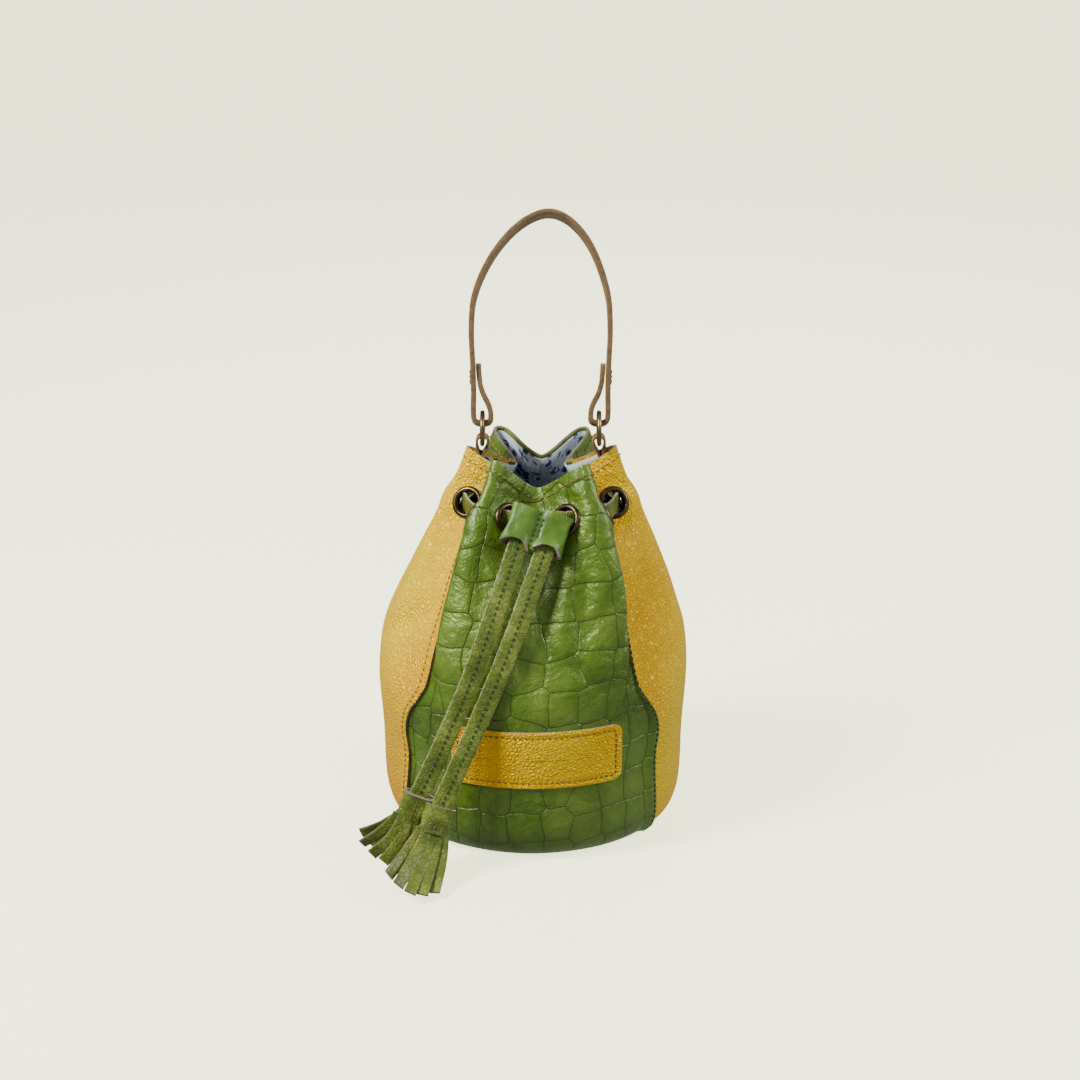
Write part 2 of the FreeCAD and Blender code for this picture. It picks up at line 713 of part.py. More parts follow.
doc.recompute()
full_volume = handle.Shape.Volume
narrowing = sketch_on(handle, "YZ_Plane", "handle_narrowing")
draw_narrowing(narrowing)
pocket = handle.newObject("PartDesign::Pocket", "handle_ends")
pocket.Profile = narrowing
pocket.Type = "ThroughAll"
pocket.SideType = "Symmetric"
handle.Tip = pocket
doc.recompute()
print(f"handle_strap: narrowing takes {full_volume - handle.Shape.Volume:.0f} mm3")
handle_turn = FreeCAD.Rotation(Vector(1, 0, 0), -size("handle_lean"))
handle.Placement = FreeCAD.Placement(Vector(MOUTH_SHIFT, 0, size("ring_centre")), handle_turn)


# ---------------------------------------------------------------------------
# Check and write
# ---------------------------------------------------------------------------

doc.recompute()
for item in doc.Objects:
    if "Invalid" in item.State or "Error" in item.State:
        raise RuntimeError(f"{item.Label} failed to build")

os.makedirs("parts", exist_ok=True)
whole = FreeCAD.BoundBox()
for item in doc.Objects:
    if item.TypeId in ("PartDesign::Body", "Part::Feature"):
        shape = item.Shape
        if shape.isNull() or not shape.isValid():
            raise RuntimeError(f"{item.Label} has a bad shape")
        shape.exportStep(f"parts/{item.Label}.step")
        whole.add(shape.BoundBox)
        box = shape.BoundBox
        print(f"{item.Label:22s} solids {len(shape.Solids)}  volume {shape.Volume:9.0f}  "
              f"x {box.XMin:7.1f} {box.XMax:7.1f}  y {box.YMin:7.1f} {box.YMax:7.1f}  "
              f"z {box.ZMin:6.1f} {box.ZMax:6.1f}")
print(f"whole x {whole.XMin:.1f} {whole.XMax:.1f} y {whole.YMin:.1f} {whole.YMax:.1f} "
      f"z {whole.ZMin:.1f} {whole.ZMax:.1f}")
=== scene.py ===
"""Looks of the drawstring bucket bag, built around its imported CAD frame."""

import math

import bpy
from mathutils import Matrix, Vector, noise


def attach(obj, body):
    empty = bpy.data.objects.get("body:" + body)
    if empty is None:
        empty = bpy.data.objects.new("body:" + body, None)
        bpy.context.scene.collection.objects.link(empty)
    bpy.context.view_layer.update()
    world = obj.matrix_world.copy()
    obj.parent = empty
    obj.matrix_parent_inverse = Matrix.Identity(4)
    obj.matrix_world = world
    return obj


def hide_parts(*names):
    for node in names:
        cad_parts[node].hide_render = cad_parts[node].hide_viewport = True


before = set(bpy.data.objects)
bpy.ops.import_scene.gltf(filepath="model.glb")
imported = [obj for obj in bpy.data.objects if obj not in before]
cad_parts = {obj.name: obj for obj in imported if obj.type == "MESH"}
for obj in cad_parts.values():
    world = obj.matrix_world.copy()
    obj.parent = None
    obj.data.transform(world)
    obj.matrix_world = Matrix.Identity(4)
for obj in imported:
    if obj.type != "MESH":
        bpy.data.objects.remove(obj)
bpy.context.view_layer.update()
MM = 0.001


# ---------------------------------------------------------------------------
# Camera and light
# ---------------------------------------------------------------------------

CAMERA_ELEVATION = math.radians(18.14)
CAMERA_DISTANCE = 1.25
AIM = Vector((0.0041, 0.0, 0.1559))
LENS_MM = 75.59


def look_at(item, target):
    """Turns an object's -Z axis towards a point, its Y axis kept upright."""
    item.rotation_euler = (target - item.location).to_track_quat("-Z", "Y").to_euler()


camera = bpy.data.objects.new("camera", bpy.data.cameras.new("camera"))
bpy.context.scene.collection.objects.link(camera)
camera.data.lens = LENS_MM
camera.data.sensor_width = 36.0
camera.location = AIM + CAMERA_DISTANCE * Vector(
    (0.0, -math.cos(CAMERA_ELEVATION), math.sin(CAMERA_ELEVATION)))
look_at(camera, AIM)
bpy.context.scene.camera = camera


def area_light(name, location, size, watts, tint=(1.0, 1.0, 1.0)):
    """A soft square light aimed at the middle of the bag."""
    light = bpy.data.objects.new(name, bpy.data.lights.new(name, "AREA"))
    light.data.size = size
    light.data.energy = watts
    light.data.color = tint
    light.location = location
    bpy.context.scene.collection.objects.link(light)
    look_at(light, Vector((0.0, 0.0, 0.12)))


area_light("key_light", Vector((-0.95, -0.55, 1.2)), 0.4, 33.0, (1.0, 0.97, 0.90))
area_light("side_light", Vector((1.25, -0.1, 0.9)), 0.5, 10.0)
area_light("back_light", Vector((0.2, 1.2, 1.1)), 0.8, 9.0)
world = bpy.data.worlds.new("studio")
bpy.context.scene.world = world
world.use_nodes = True
world.node_tree.nodes["Background"].inputs["Color"].default_value = (0.93, 0.94, 0.88, 1.0)
world.node_tree.nodes["Background"].inputs["Strength"].default_value = 0.42


# ---------------------------------------------------------------------------
# Materials
# ---------------------------------------------------------------------------

class Surface:
    """A material with one Principled shader, and short ways to add nodes in front of it."""

    def __init__(self, name, **settings):
        self.material = bpy.data.materials.new(name)
        self.material.use_nodes = True
        self.tree = self.material.node_tree
        self.shader = self.tree.nodes["Principled BSDF"]
        for socket, value in settings.items():
            self.shader.inputs[socket.replace("_", " ")].default_value = value

    def add(self, kind, inputs=None, **settings):
        """Adds a node. Each input is a value or another node's output."""
        node = self.tree.nodes.new(kind)
        for key, value in settings.items():
            setattr(node, key, value)
        for key, value in (inputs or {}).items():
            if isinstance(value, bpy.types.NodeSocket):
                self.tree.links.new(value, node.inputs[key])
            else:
                node.inputs[key].default_value = value
        return node

    def place(self, scale=(1.0, 1.0, 1.0)):
        """Object coordinates in metres, stretched."""
        where = self.add("ShaderNodeTexCoord").outputs["Object"]
        return self.add("ShaderNodeMapping", {"Vector": where, "Scale": scale}).outputs["Vector"]

    def noise(self, scale, detail=3.0, rough=0.5, place=None, distortion=0.0):
        inputs = {"Scale": scale, "Detail": detail, "Roughness": rough, "Distortion": distortion,
                  "Vector": place or self.place()}
        return self.add("ShaderNodeTexNoise", inputs).outputs["Fac"]

    def cells(self, scale, feature="DISTANCE_TO_EDGE", place=None, dimensions="3D", jitter=1.0):
        node = self.add("ShaderNodeTexVoronoi", voronoi_dimensions=dimensions, feature=feature)
        self.tree.links.new(place or self.place(), node.inputs["Vector"])
        node.inputs["Scale"].default_value = scale
        node.inputs["Randomness"].default_value = jitter
        return node.outputs["Distance"]

    def ramp(self, factor, *stops):
        """Colours at positions along a factor."""
        node = self.add("ShaderNodeValToRGB", {"Fac": factor})
        elements = node.color_ramp.elements
        while len(elements) < len(stops):
            elements.new(0.5)
        for element, (position, colour) in zip(elements, stops):
            element.position = position
            element.color = (*colour, 1.0) if isinstance(colour, tuple) else (colour, colour, colour, 1.0)
        return node.outputs["Color"]

    def mix(self, factor, first, second, blend="MIX"):
        node = self.add("ShaderNodeMix", data_type="RGBA", blend_type=blend)
        for socket, value in ((node.inputs[0], factor), (node.inputs[6], first), (node.inputs[7], second)):
            if isinstance(value, bpy.types.NodeSocket):
                self.tree.links.new(value, socket)
            else:
                socket.default_value = (*value, 1.0) if isinstance(value, tuple) else value
        return node.outputs[2]

    def sum(self, *terms):
        """A weighted sum of (output, weight) pairs."""
        total = None
        for output, weight in terms:
            part = self.add("ShaderNodeMath", {0: output, 1: weight}, operation="MULTIPLY").outputs[0]
            if total is not None:
                part = self.add("ShaderNodeMath", {0: total, 1: part}, operation="ADD").outputs[0]
            total = part
        return total

    def finish(self, colour=None, rough=None, height=None, depth=0.0005, strength=1.0):
        """Wires colour, roughness and a bump of the given depth in metres into the shader."""
        if colour is not None:
            self.tree.links.new(colour, self.shader.inputs["Base Color"])
        if rough is not None:
            self.tree.links.new(rough, self.shader.inputs["Roughness"])
        if height is not None:
            bump = self.add("ShaderNodeBump", {"Height": height, "Distance": depth, "Strength": strength})
            self.tree.links.new(bump.outputs["Normal"], self.shader.inputs["Normal"])
        return self.material


def crocodile(name, deep, middle, light, cell_scale=57.0, groove=1.0, from_map=True):
    """Glazed leather with square-ish crocodile cells, on the flat leather's own coordinates."""
    skin = Surface(name, Coat_Weight=0.24, Coat_Roughness=0.28, Metallic=0.28, Specular_IOR_Level=0.5)
    flat = skin.add("ShaderNodeUVMap", uv_map="grain").outputs["UV"] if from_map else skin.place()
    drift = skin.add("ShaderNodeTexNoise", {"Vector": flat, "Scale": 40.0, "Detail": 2.0}).outputs["Color"]
    shifted = skin.add("ShaderNodeVectorMath", {0: drift, 1: (0.5, 0.5, 0.5)},
                       operation="SUBTRACT").outputs[0]
    shifted = skin.add("ShaderNodeVectorMath", {0: shifted, 3: 0.007}, operation="SCALE").outputs[0]
    flat_drifted = skin.add("ShaderNodeVectorMath", {0: flat, 1: shifted}).outputs[0]
    edge = skin.cells(cell_scale, place=flat_drifted, dimensions="2D", jitter=0.42)
    plateau = skin.ramp(edge, (0.0, 0.0), (0.028, 0.7), (0.12, 1.0))
    cell_rim_shade = skin.cells(cell_scale, feature="F1", place=flat_drifted, dimensions="2D", jitter=0.42)
    wrinkle = skin.noise(210.0, 5.0, 0.6, distortion=0.6)
    fine = skin.cells(900.0)
    cloud = skin.noise(16.0, 3.0, 0.55)
    body = skin.ramp(cloud, (0.32, deep), (0.5, middle), (0.72, light))
    # Painted sheen: lighter mint streaks laid along the wrinkle noise.
    body = skin.mix(skin.ramp(wrinkle, (0.35, 0.0), (0.75, 0.45)), body, light)
    # Painted shade: each cell darkens from its middle out towards the grooves around it.
    body = skin.mix(skin.ramp(cell_rim_shade, (0.1, 0.0), (0.7, 0.35)), body, deep)
    # Painted shade: the grooves between the cells are darkened towards a third of the deep green.
    shade = tuple(0.32 * part for part in deep)
    groove_shade_mask = skin.ramp(edge, (0.0, 0.45 * groove), (0.02, 0.1 * groove), (0.04, 0.0))
    colour = skin.mix(groove_shade_mask, body, shade)
    rough = skin.ramp(wrinkle, (0.2, 0.27), (0.8, 0.44))
    ripple = skin.noise(70.0, 3.0, 0.6, distortion=0.8)
    height = skin.sum((plateau, 0.8 * groove), (wrinkle, 0.9), (fine, 0.16), (cloud, 0.8), (ripple, 2.0))
    return skin.finish(colour, rough, height, depth=0.0011, strength=0.8)


def pebbled(name, deep, middle, light):
    """Satin leather with a fine round grain."""
    skin = Surface(name, Coat_Weight=0.04, Coat_Roughness=0.3, Metallic=0.2, Specular_IOR_Level=0.15)
    grain = skin.cells(470.0)
    round_grain = skin.ramp(grain, (0.0, 0.0), (0.35, 1.0))
    wrinkle = skin.noise(120.0, 4.0, 0.6, distortion=0.4)
    cloud = skin.noise(11.0, 2.0)
    body = skin.ramp(cloud, (0.3, deep), (0.52, middle), (0.75, light))
    # Painted shade: the crevices between the pebbles are darkened towards the deep orange.
    colour = skin.mix(skin.ramp(grain, (0.0, 0.30), (0.12, 0.0)), body, deep)
    rough = skin.ramp(wrinkle, (0.2, 0.36), (0.8, 0.5))
    ripple = skin.noise(48.0, 3.0, 0.6, distortion=0.7)
    height = skin.sum((round_grain, 0.55), (wrinkle, 0.5), (ripple, 1.3))
    return skin.finish(colour, rough, height, depth=0.0013, strength=0.9)


def strap_leather(name, deep, middle, light, crack=0.5, shine=0.25):
    """Bridle and strap leather: soft blotches and fine cracks."""
    skin = Surface(name, Coat_Weight=shine, Coat_Roughness=0.35, Specular_IOR_Level=0.5)
    blotch = skin.noise(60.0, 4.0, 0.6)
    crackle = skin.cells(330.0, jitter=1.0)
    fine = skin.noise(700.0, 3.0)
    body = skin.ramp(blotch, (0.3, deep), (0.5, middle), (0.7, light))
    # Painted shade: the fine cracks are darkened towards the deep colour.
    colour = skin.mix(skin.ramp(crackle, (0.0, crack), (0.09, 0.0)), body, deep)
    height = skin.sum((skin.ramp(crackle, (0.0, 0.0), (0.12, 1.0)), crack), (fine, 0.35), (blotch, 0.9))
    return skin.finish(colour, skin.ramp(fine, (0.2, 0.38), (0.8, 0.55)), height, depth=0.0004, strength=0.8)


def suede(name, dark, pale, scale=260.0):
    """The fibrous flesh side or cut edge of leather."""
    skin = Surface(name, Specular_IOR_Level=0.15, Sheen_Weight=0.4, Sheen_Roughness=0.6)
    fibre = skin.noise(scale, 6.0, 0.75, distortion=1.2)
    layers = skin.noise(90.0, 2.0, place=skin.place((1.0, 1.0, 6.0)))
    colour = skin.ramp(skin.sum((fibre, 0.7), (layers, 0.3)), (0.32, dark), (0.68, pale))
    return skin.finish(colour, skin.ramp(fibre, (0.0, 0.82), (1.0, 0.97)), fibre, depth=0.0006, strength=0.9)


def brass(name, dark, worn):
    """Antiqued metal, rubbed brighter in places."""
    metal = Surface(name, Metallic=1.0)
    rub = metal.noise(180.0, 5.0, 0.65)
    colour = metal.ramp(rub, (0.35, dark), (0.7, worn))
    return metal.finish(colour, metal.ramp(rub, (0.2, 0.42), (0.8, 0.24)), rub, depth=0.00012, strength=0.5)


def thread(name, colour, shadow):
    """Waxed sewing thread with its twist."""
    yarn = Surface(name, Specular_IOR_Level=0.3, Sheen_Weight=0.2, Sheen_Roughness=0.5)
    twist = yarn.add("ShaderNodeTexWave", {"Vector": yarn.place(), "Scale": 900.0, "Distortion": 1.5},
                     bands_direction="DIAGONAL").outputs["Fac"]
    return yarn.finish(yarn.ramp(twist, (0.2, shadow), (0.7, colour)),
                       yarn.ramp(twist, (0.0, 0.7), (1.0, 0.55)),
                       twist, depth=0.0002)


def printed_cotton(name):
    """Plain-woven pale cotton printed with dark blue sprigs."""
    cloth = Surface(name, Specular_IOR_Level=0.2, Sheen_Weight=0.15, Sheen_Roughness=0.5)
    warp = cloth.add("ShaderNodeTexWave", {"Vector": cloth.place(), "Scale": 420.0, "Distortion": 0.4},
                     bands_direction="Z").outputs["Fac"]
    weft = cloth.add("ShaderNodeTexWave", {"Vector": cloth.place(), "Scale": 420.0, "Distortion": 0.4},
                     bands_direction="X").outputs["Fac"]
    weave = cloth.sum((warp, 0.5), (weft, 0.5))
    petals = cloth.cells(170.0, feature="F1")
    cluster = cloth.noise(75.0, 2.0, distortion=1.5)
    ground = cloth.ramp(weave, (0.2, (0.52, 0.60, 0.72)), (0.8, (0.74, 0.78, 0.82)))
    flower = cloth.mix(cloth.ramp(petals, (0.40, 1.0), (0.58, 0.0)), ground, (0.015, 0.035, 0.17))
    colour = cloth.mix(cloth.ramp(cluster, (0.47, 0.0), (0.52, 1.0)), ground, flower)
    return cloth.finish(colour, cloth.ramp(weave, (0.0, 0.95), (1.0, 0.8)), weave, depth=0.0002)


def board(name):
    """Grey-brown stiffener board, with flecks."""
    pulp = Surface(name, Specular_IOR_Level=0.2)
    fleck = pulp.noise(300.0, 6.0, 0.7)
    return pulp.finish(pulp.ramp(fleck, (0.3, (0.22, 0.17, 0.11)), (0.7, (0.42, 0.35, 0.25))),
                       pulp.ramp(fleck, (0.0, 0.95), (1.0, 0.8)), fleck, depth=0.0002)


GREEN = crocodile("green_crocodile", (0.050, 0.095, 0.002), (0.095, 0.180, 0.005), (0.21, 0.33, 0.04))
GREEN_SMOOTH = strap_leather("green_smooth_leather", (0.05, 0.125, 0.004), (0.085, 0.195, 0.008),
                             (0.15, 0.29, 0.03), crack=0.15, shine=0.3)
GREEN_STRAP = strap_leather("green_strap_leather", (0.060, 0.10, 0.003), (0.13, 0.18, 0.009),
                            (0.27, 0.33, 0.05), crack=0.6, shine=0.3)
YELLOW = pebbled("yellow_pebbled", (0.86, 0.42, 0.0), (0.98, 0.60, 0.0), (1.0, 0.74, 0.0))
TAN = strap_leather("tan_strap_leather", (0.14, 0.075, 0.012), (0.22, 0.135, 0.022), (0.34, 0.225, 0.05),
                    crack=0.2, shine=0.15)
RAW_BROWN = suede("raw_brown_edge", (0.075, 0.040, 0.022), (0.27, 0.175, 0.105))
RAW_PALE = suede("raw_pale_edge", (0.16, 0.11, 0.055), (0.60, 0.52, 0.34), 420.0)
RAW_TAN = suede("raw_tan_edge", (0.075, 0.036, 0.012), (0.24, 0.14, 0.05), 340.0)
BRASS = brass("antique_brass", (0.045, 0.030, 0.018), (0.22, 0.15, 0.08))
RING_BRASS = brass("ring_brass", (0.10, 0.07, 0.035), (0.42, 0.31, 0.15))
OCHRE_THREAD = thread("ochre_thread", (0.55, 0.34, 0.06), (0.28, 0.15, 0.02))
BROWN_THREAD = thread("brown_thread", (0.33, 0.17, 0.03), (0.14, 0.06, 0.01))
GREEN_THREAD = thread("green_thread", (0.035, 0.09, 0.015), (0.012, 0.03, 0.006))
LINING = printed_cotton("printed_cotton")
BOARD = board("stiffener_board")


# ---------------------------------------------------------------------------
# Meshes
# ---------------------------------------------------------------------------

def add_mesh(name, points, faces, materials, body, paint=None, uv=None):
    """A smooth-shaded mesh in metres. Points come in millimetres, and paint gives each face's material."""
    mesh = bpy.data.meshes.new(name)
    mesh.from_pydata([tuple(MM * c for c in point) for point in points], [], faces)
    item = bpy.data.objects.new(name, mesh)
    bpy.context.scene.collection.objects.link(item)
    for material in materials:
        mesh.materials.append(material)
    if paint:
        mesh.polygons.foreach_set("material_index", paint)
    if uv:
        layer = mesh.uv_layers.new(name="grain")
        for loop in mesh.loops:
            layer.data[loop.index].uv = uv[loop.vertex_index]
    mesh.polygons.foreach_set("use_smooth", [True] * len(mesh.polygons))
    mesh.update()
    mesh.set_sharp_from_angle(angle=math.radians(48))
    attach(item, body)
    return item


def apply_modifiers(item):
    """Makes an object's modifiers real."""
    graph = bpy.context.evaluated_depsgraph_get()
    settled = bpy.data.meshes.new_from_object(item.evaluated_get(graph))
    item.modifiers.clear()
    item.data = settled


def blend_table(table, place):
    """A smooth curve through (position, value) pairs, held level outside them."""
    if place <= table[0][0]:
        return table[0][1]
    if place >= table[-1][0]:
        return table[-1][1]
    for index in range(len(table) - 1):
        if place <= table[index + 1][0]:
            break

    def slope(at):
        low, high = max(at - 1, 0), min(at + 1, len(table) - 1)
        return (table[high][1] - table[low][1]) / (table[high][0] - table[low][0])

    start, value = table[index]
    end, next_value = table[index + 1]
    span = end - start
    share = (place - start) / span
    cube, square = share ** 3, share ** 2
    return (value * (2 * cube - 3 * square + 1) + slope(index) * span * (cube - 2 * square + share)
            + next_value * (3 * square - 2 * cube) + slope(index + 1) * span * (cube - square))


def smooth_step(low, high, value):
    share = min(max((value - low) / (high - low), 0.0), 1.0)
    return share * share * (3 - 2 * share)


# ---------------------------------------------------------------------------
# The wall: millimetres, angles from the front and positive towards +X
# ---------------------------------------------------------------------------

# Each spoke is a lobe's ridge or the valley between two lobes. The rim stands higher on the ridges.
SIDE_RIDGE, FACE_RIDGE, FRONT_VALLEY, FRONT_SEAM, BACK_SEAM, BACK_VALLEY, SHIFT = 1, 2, 3, 4, 5, 6, 7
VALLEYS = (FRONT_VALLEY, FRONT_SEAM, BACK_SEAM, BACK_VALLEY)
FRONT_MID, RIGHT_RIDGE, RIGHT_SEAM, LEFT_SEAM, LEFT_RIDGE = 0, 1, 2, 10, 11
SPOKES = [
    (-4, FRONT_VALLEY, 194.0), (34, FACE_RIDGE, 209.5), (60, FRONT_SEAM, 199.0), (90, SIDE_RIDGE, 210.0),
    (118, BACK_SEAM, 199.0), (143, FACE_RIDGE, 211.5), (178, BACK_VALLEY, 200.5), (215, FACE_RIDGE, 211.5),
    (242, BACK_SEAM, 199.0), (270, SIDE_RIDGE, 210.0), (300, FRONT_SEAM, 199.0), (323, FACE_RIDGE, 211.5),
]
RIM_HIGH = 212.0
# Height, the radii of the six kinds of spoke, and how far the wall's middle stands towards +X
WALL = [
    (0.0, 71.0, 71.0, 71.0, 71.0, 71.0, 71.0, 0.0),
    (2.5, 75.5, 75.5, 75.5, 75.5, 75.5, 75.5, 0.0),
    (8.0, 80.0, 80.0, 80.0, 80.0, 80.0, 80.0, 0.0),
    (20.0, 83.0, 83.0, 83.0, 83.0, 83.0, 83.0, 0.0),
    (50.0, 84.0, 84.0, 84.0, 84.0, 84.0, 84.0, 0.0),
    (85.0, 86.0, 86.0, 86.0, 86.0, 86.0, 86.0, 0.0),
    (106.0, 83.5, 84.0, 82.0, 78.5, 81.5, 83.0, 0.4),
    (122.0, 79.0, 80.5, 77.0, 70.5, 75.0, 77.5, 1.1),
    (138.0, 73.5, 76.5, 69.5, 62.5, 66.0, 69.0, 2.2),
    (155.0, 66.0, 71.0, 58.0, 53.0, 54.0, 56.5, 3.4),
    (170.0, 58.5, 65.0, 45.0, 42.5, 41.0, 42.5, 4.2),
    (181.0, 53.5, 60.0, 35.0, 35.0, 31.0, 32.0, 4.5),
    (195.0, 46.5, 51.0, 25.0, 25.0, 19.0, 19.0, 4.5),
    (213.0, 40.0, 41.0, 14.0, 16.0, 10.0, 9.0, 4.5),
]
COLUMNS = [[(row[0], row[column]) for row in WALL] for column in range(8)]
# The front seams bow round the front panel, and the folds beside them run up to the gathers
SEAM_TABLE = [(0, 56.0), (25, 53.0), (50, 51.5), (66, 52.0), (78, 49.0), (86, 45.0), (95, 42.0), (115, 43.0),
              (138, 47.0), (160, 53.0), (181, 60.0), (213, 60.0)]
RIDGE_TABLE = [(0, 30.0), (66, 30.0), (86, 32.0), (95, 34.0), (115, 37.0), (138, 38.0), (160, 37.0),
               (181, 35.5),
               (213, 35.5)]
MIDDLE_TABLE = [(0, 0.0), (85, 0.0), (181, -4.0), (213, -4.0)]
LEAN_TABLE = [(0, 0.0), (85, 0.0), (181, 1.5), (213, 1.5)]
STRING_LEVEL = 181.0
# How far each eyelet stands from its spoke to the next one
HOLE_SHARES = (0.42, 0.5, 0.37, 0.5, 0.5, 0.5, 0.5, 0.5, 0.5, 0.63, 0.5, 0.6)
HOLE_RISE = 0.45
SPOKE_COUNT = len(SPOKES)


def on_plan(angle, radius, height=0.0):
    """A point at an angle from the front."""
    turn = math.radians(angle)
    return Vector((radius * math.sin(turn), -radius * math.cos(turn), height))


def spoke_angle(index, height):
    """Where a spoke stands at a height. The index may run past a full turn."""
    turns, index = divmod(index, SPOKE_COUNT)
    lean = blend_table(LEAN_TABLE, height)
    if index == FRONT_MID:
        angle = blend_table(MIDDLE_TABLE, height)
    elif index == RIGHT_RIDGE:
        angle = blend_table(RIDGE_TABLE, height) - lean
    elif index == RIGHT_SEAM:
        angle = blend_table(SEAM_TABLE, height)
    elif index == LEFT_SEAM:
        angle = 360 - blend_table(SEAM_TABLE, height) - 1.5 * smooth_step(60, 20, height)
    elif index == LEFT_RIDGE:
        angle = 360 - blend_table(RIDGE_TABLE, height) - lean
    else:
        angle = SPOKES[index][0]
    return angle + 360 * turns


class Ring:
    """The wall's outline at one height."""

    def __init__(self, height):
        self.height = height
        self.shift = Vector((blend_table(COLUMNS[SHIFT], height), 0, 0))
        self.radii = [blend_table(COLUMNS[column], height) for _, column, _ in SPOKES]
        self.angles = [spoke_angle(index, height) for index in range(SPOKE_COUNT)]
        pinch = smooth_step(183.0, 197.0, height)
        self.fullness = [1 - 0.72 * pinch if column in VALLEYS else 1 - 0.15 * pinch
                         for _, column, _ in SPOKES]

    def angle(self, index):
        turns, index = divmod(index, SPOKE_COUNT)
        return self.angles[index] + 360 * turns

    def at(self, place):
        """A point between two spokes: place 2.5 is half way from spoke 2 to spoke 3."""
        index = math.floor(place)
        share = place - index
        angle, next_angle = self.angle(index), self.angle(index + 1)
        start = on_plan(angle, self.radii[index % SPOKE_COUNT], self.height)
        end = on_plan(next_angle, self.radii[(index + 1) % SPOKE_COUNT], self.height)
        reach = (end - start).length
        leave = on_plan(angle + 90, reach * self.fullness[index % SPOKE_COUNT])
        arrive = on_plan(next_angle + 90, reach * self.fullness[(index + 1) % SPOKE_COUNT])
        cube, square = share ** 3, share ** 2
        return (start * (2 * cube - 3 * square + 1) + leave * (cube - 2 * square + share)
                + end * (3 * square - 2 * cube) + arrive * (cube - square) + self.shift)


RINGS = {}


def ring_at(height):
    key = round(height, 2)
    if key not in RINGS:
        RINGS[key] = Ring(key)
    return RINGS[key]


def hole_frames():
    """Centre and outward normal of the twelve eyelets, the first just right of the front valley."""
    ring = Ring(STRING_LEVEL)
    frames = []
    for index in range(SPOKE_COUNT):
        centre = ring.at(index + HOLE_SHARES[index])
        outward = (ring.at(index + HOLE_SHARES[index] + 0.01) - centre).cross(Vector((0, 0, 1))).normalized()
        frames.append((centre, (outward + Vector((0, 0, HOLE_RISE))).normalized()))
    return frames


HOLES = hole_frames()
PRESSED_RADIUS = 9.5
PRESSED_FADE = 17.0

# Creases that the gathers and handling leave: place and height at both ends, depth and width
CREASES = [
    (9.8, 132.0, 9.2, 106.0, 3.2, 5.0),
    (9.45, 160.0, 9.75, 132.0, 2.2, 5.5),
    (9.1, 140.0, 9.0, 112.0, 1.6, 5.5),
    (12.05, 176.0, 12.15, 110.0, 6.2, 8.5),
    (11.5, 150.0, 12.0, 98.0, 2.6, 5.0),
    (12.6, 162.0, 12.45, 108.0, 3.6, 5.5),
    (12.3, 118.0, 12.8, 96.0, 1.6, 3.5),
    (13.5, 152.0, 13.1, 122.0, 1.8, 4.5),
    (11.3, 166.0, 11.45, 132.0, 1.8, 4.5),
    (12.9, 146.0, 12.55, 124.0, 1.5, 3.5),
    (13.3, 130.0, 12.8, 114.0, 1.2, 3.5),
    (11.2, 122.0, 11.7, 108.0, 1.2, 4.0),
    (2.35, 158.0, 2.55, 112.0, 1.4, 6.0),
    (3.3, 150.0, 3.1, 120.0, 1.1, 5.5),
    (4.6, 160.0, 4.8, 112.0, 1.4, 6.5),
    (5.5, 158.0, 5.3, 110.0, 1.5, 6.0),
    (6.4, 156.0, 6.7, 116.0, 1.4, 6.5),
    (7.5, 160.0, 7.2, 112.0, 1.3, 6.0),
]


def crease_depth(place, height):
    """How far the creases push the leather in."""
    depth = 0.0
    for start, high, end, low, deep, width in CREASES:
        if not low - 3 * width < height < high + 3 * width:
            continue
        span = Vector(((end - start) * 40.0, low - high))
        for turn in (0, SPOKE_COUNT, -SPOKE_COUNT):
            here = Vector(((place + turn - start) * 40.0, height - high))
            share = min(max(here.dot(span) / span.length_squared, 0.0), 1.0)
            apart = (here - span * share).length
            if apart < 3 * width:
                depth += deep * math.exp(-(apart / width) ** 2) * math.sin(math.pi * (0.12 + 0.76 * share))
    return depth


def rim_height(place):
    """The height of the wall's edge."""
    index = math.floor(place)
    share = 0.5 - 0.5 * math.cos(math.pi * (place - index))
    low, high = SPOKES[index % SPOKE_COUNT][2], SPOKES[(index + 1) % SPOKE_COUNT][2]
    return low + (high - low) * share


def wall(place, level, proud=0.0):
    """A point of the leather's outer face. Level is a height below 150 mm, and above that it is squeezed so
    that RIM_HIGH lands on the rim."""
    top = rim_height(place)
    height = level
    if level > 150.0:
        height = 150.0 + (level - 150.0) * (top - 150.0) / (RIM_HIGH - 150.0)
    ring = Ring(height) if level > 150.0 else ring_at(height)
    point = ring.at(place)
    step = ring.at(place + 0.02) - ring.at(place - 0.02)
    lean = (ring_at(min(round(height) + 2.0, 212.0)).at(place)
            - ring_at(max(round(height) - 2.0, 0.0)).at(place))
    normal = step.cross(lean).normalized()
    soft = smooth_step(78.0, 100.0, height)
    drift = noise.noise(Vector((point.x, point.y, 0.6 * point.z)) * 0.038) * (0.3 + 2.2 * soft)
    depth = soft * crease_depth(place, height)
    point = point + normal * (0.6 * drift - depth)
    if height > 160.0:
        for centre, outward in HOLES:
            apart = point - centre
            if apart.length < PRESSED_FADE:
                flat = 1 - smooth_step(PRESSED_RADIUS, PRESSED_FADE, apart.length)
                point = point - outward * (apart.dot(outward) * flat)
                normal = normal.lerp(outward, flat).normalized()
    return point + normal * proud, normal


# ---------------------------------------------------------------------------
# Panels, lining and label
# ---------------------------------------------------------------------------

LEATHER = 1.7
LAP = 4.5
FLAT_RADIUS = 85.0
LEVELS = [0.0, 0.6, 1.4, 2.5, 4.0, 6.0, 8.0, 11.0, 15.0, 20.0, 26.0]
LEVELS += [26.0 + 2.1 * step for step in range(1, 89)]
LEVELS = [level for level in LEVELS if level < RIM_HIGH - 1.2] + [RIM_HIGH - 1.0, RIM_HIGH]
FLOOR_RADIUS = 66.4
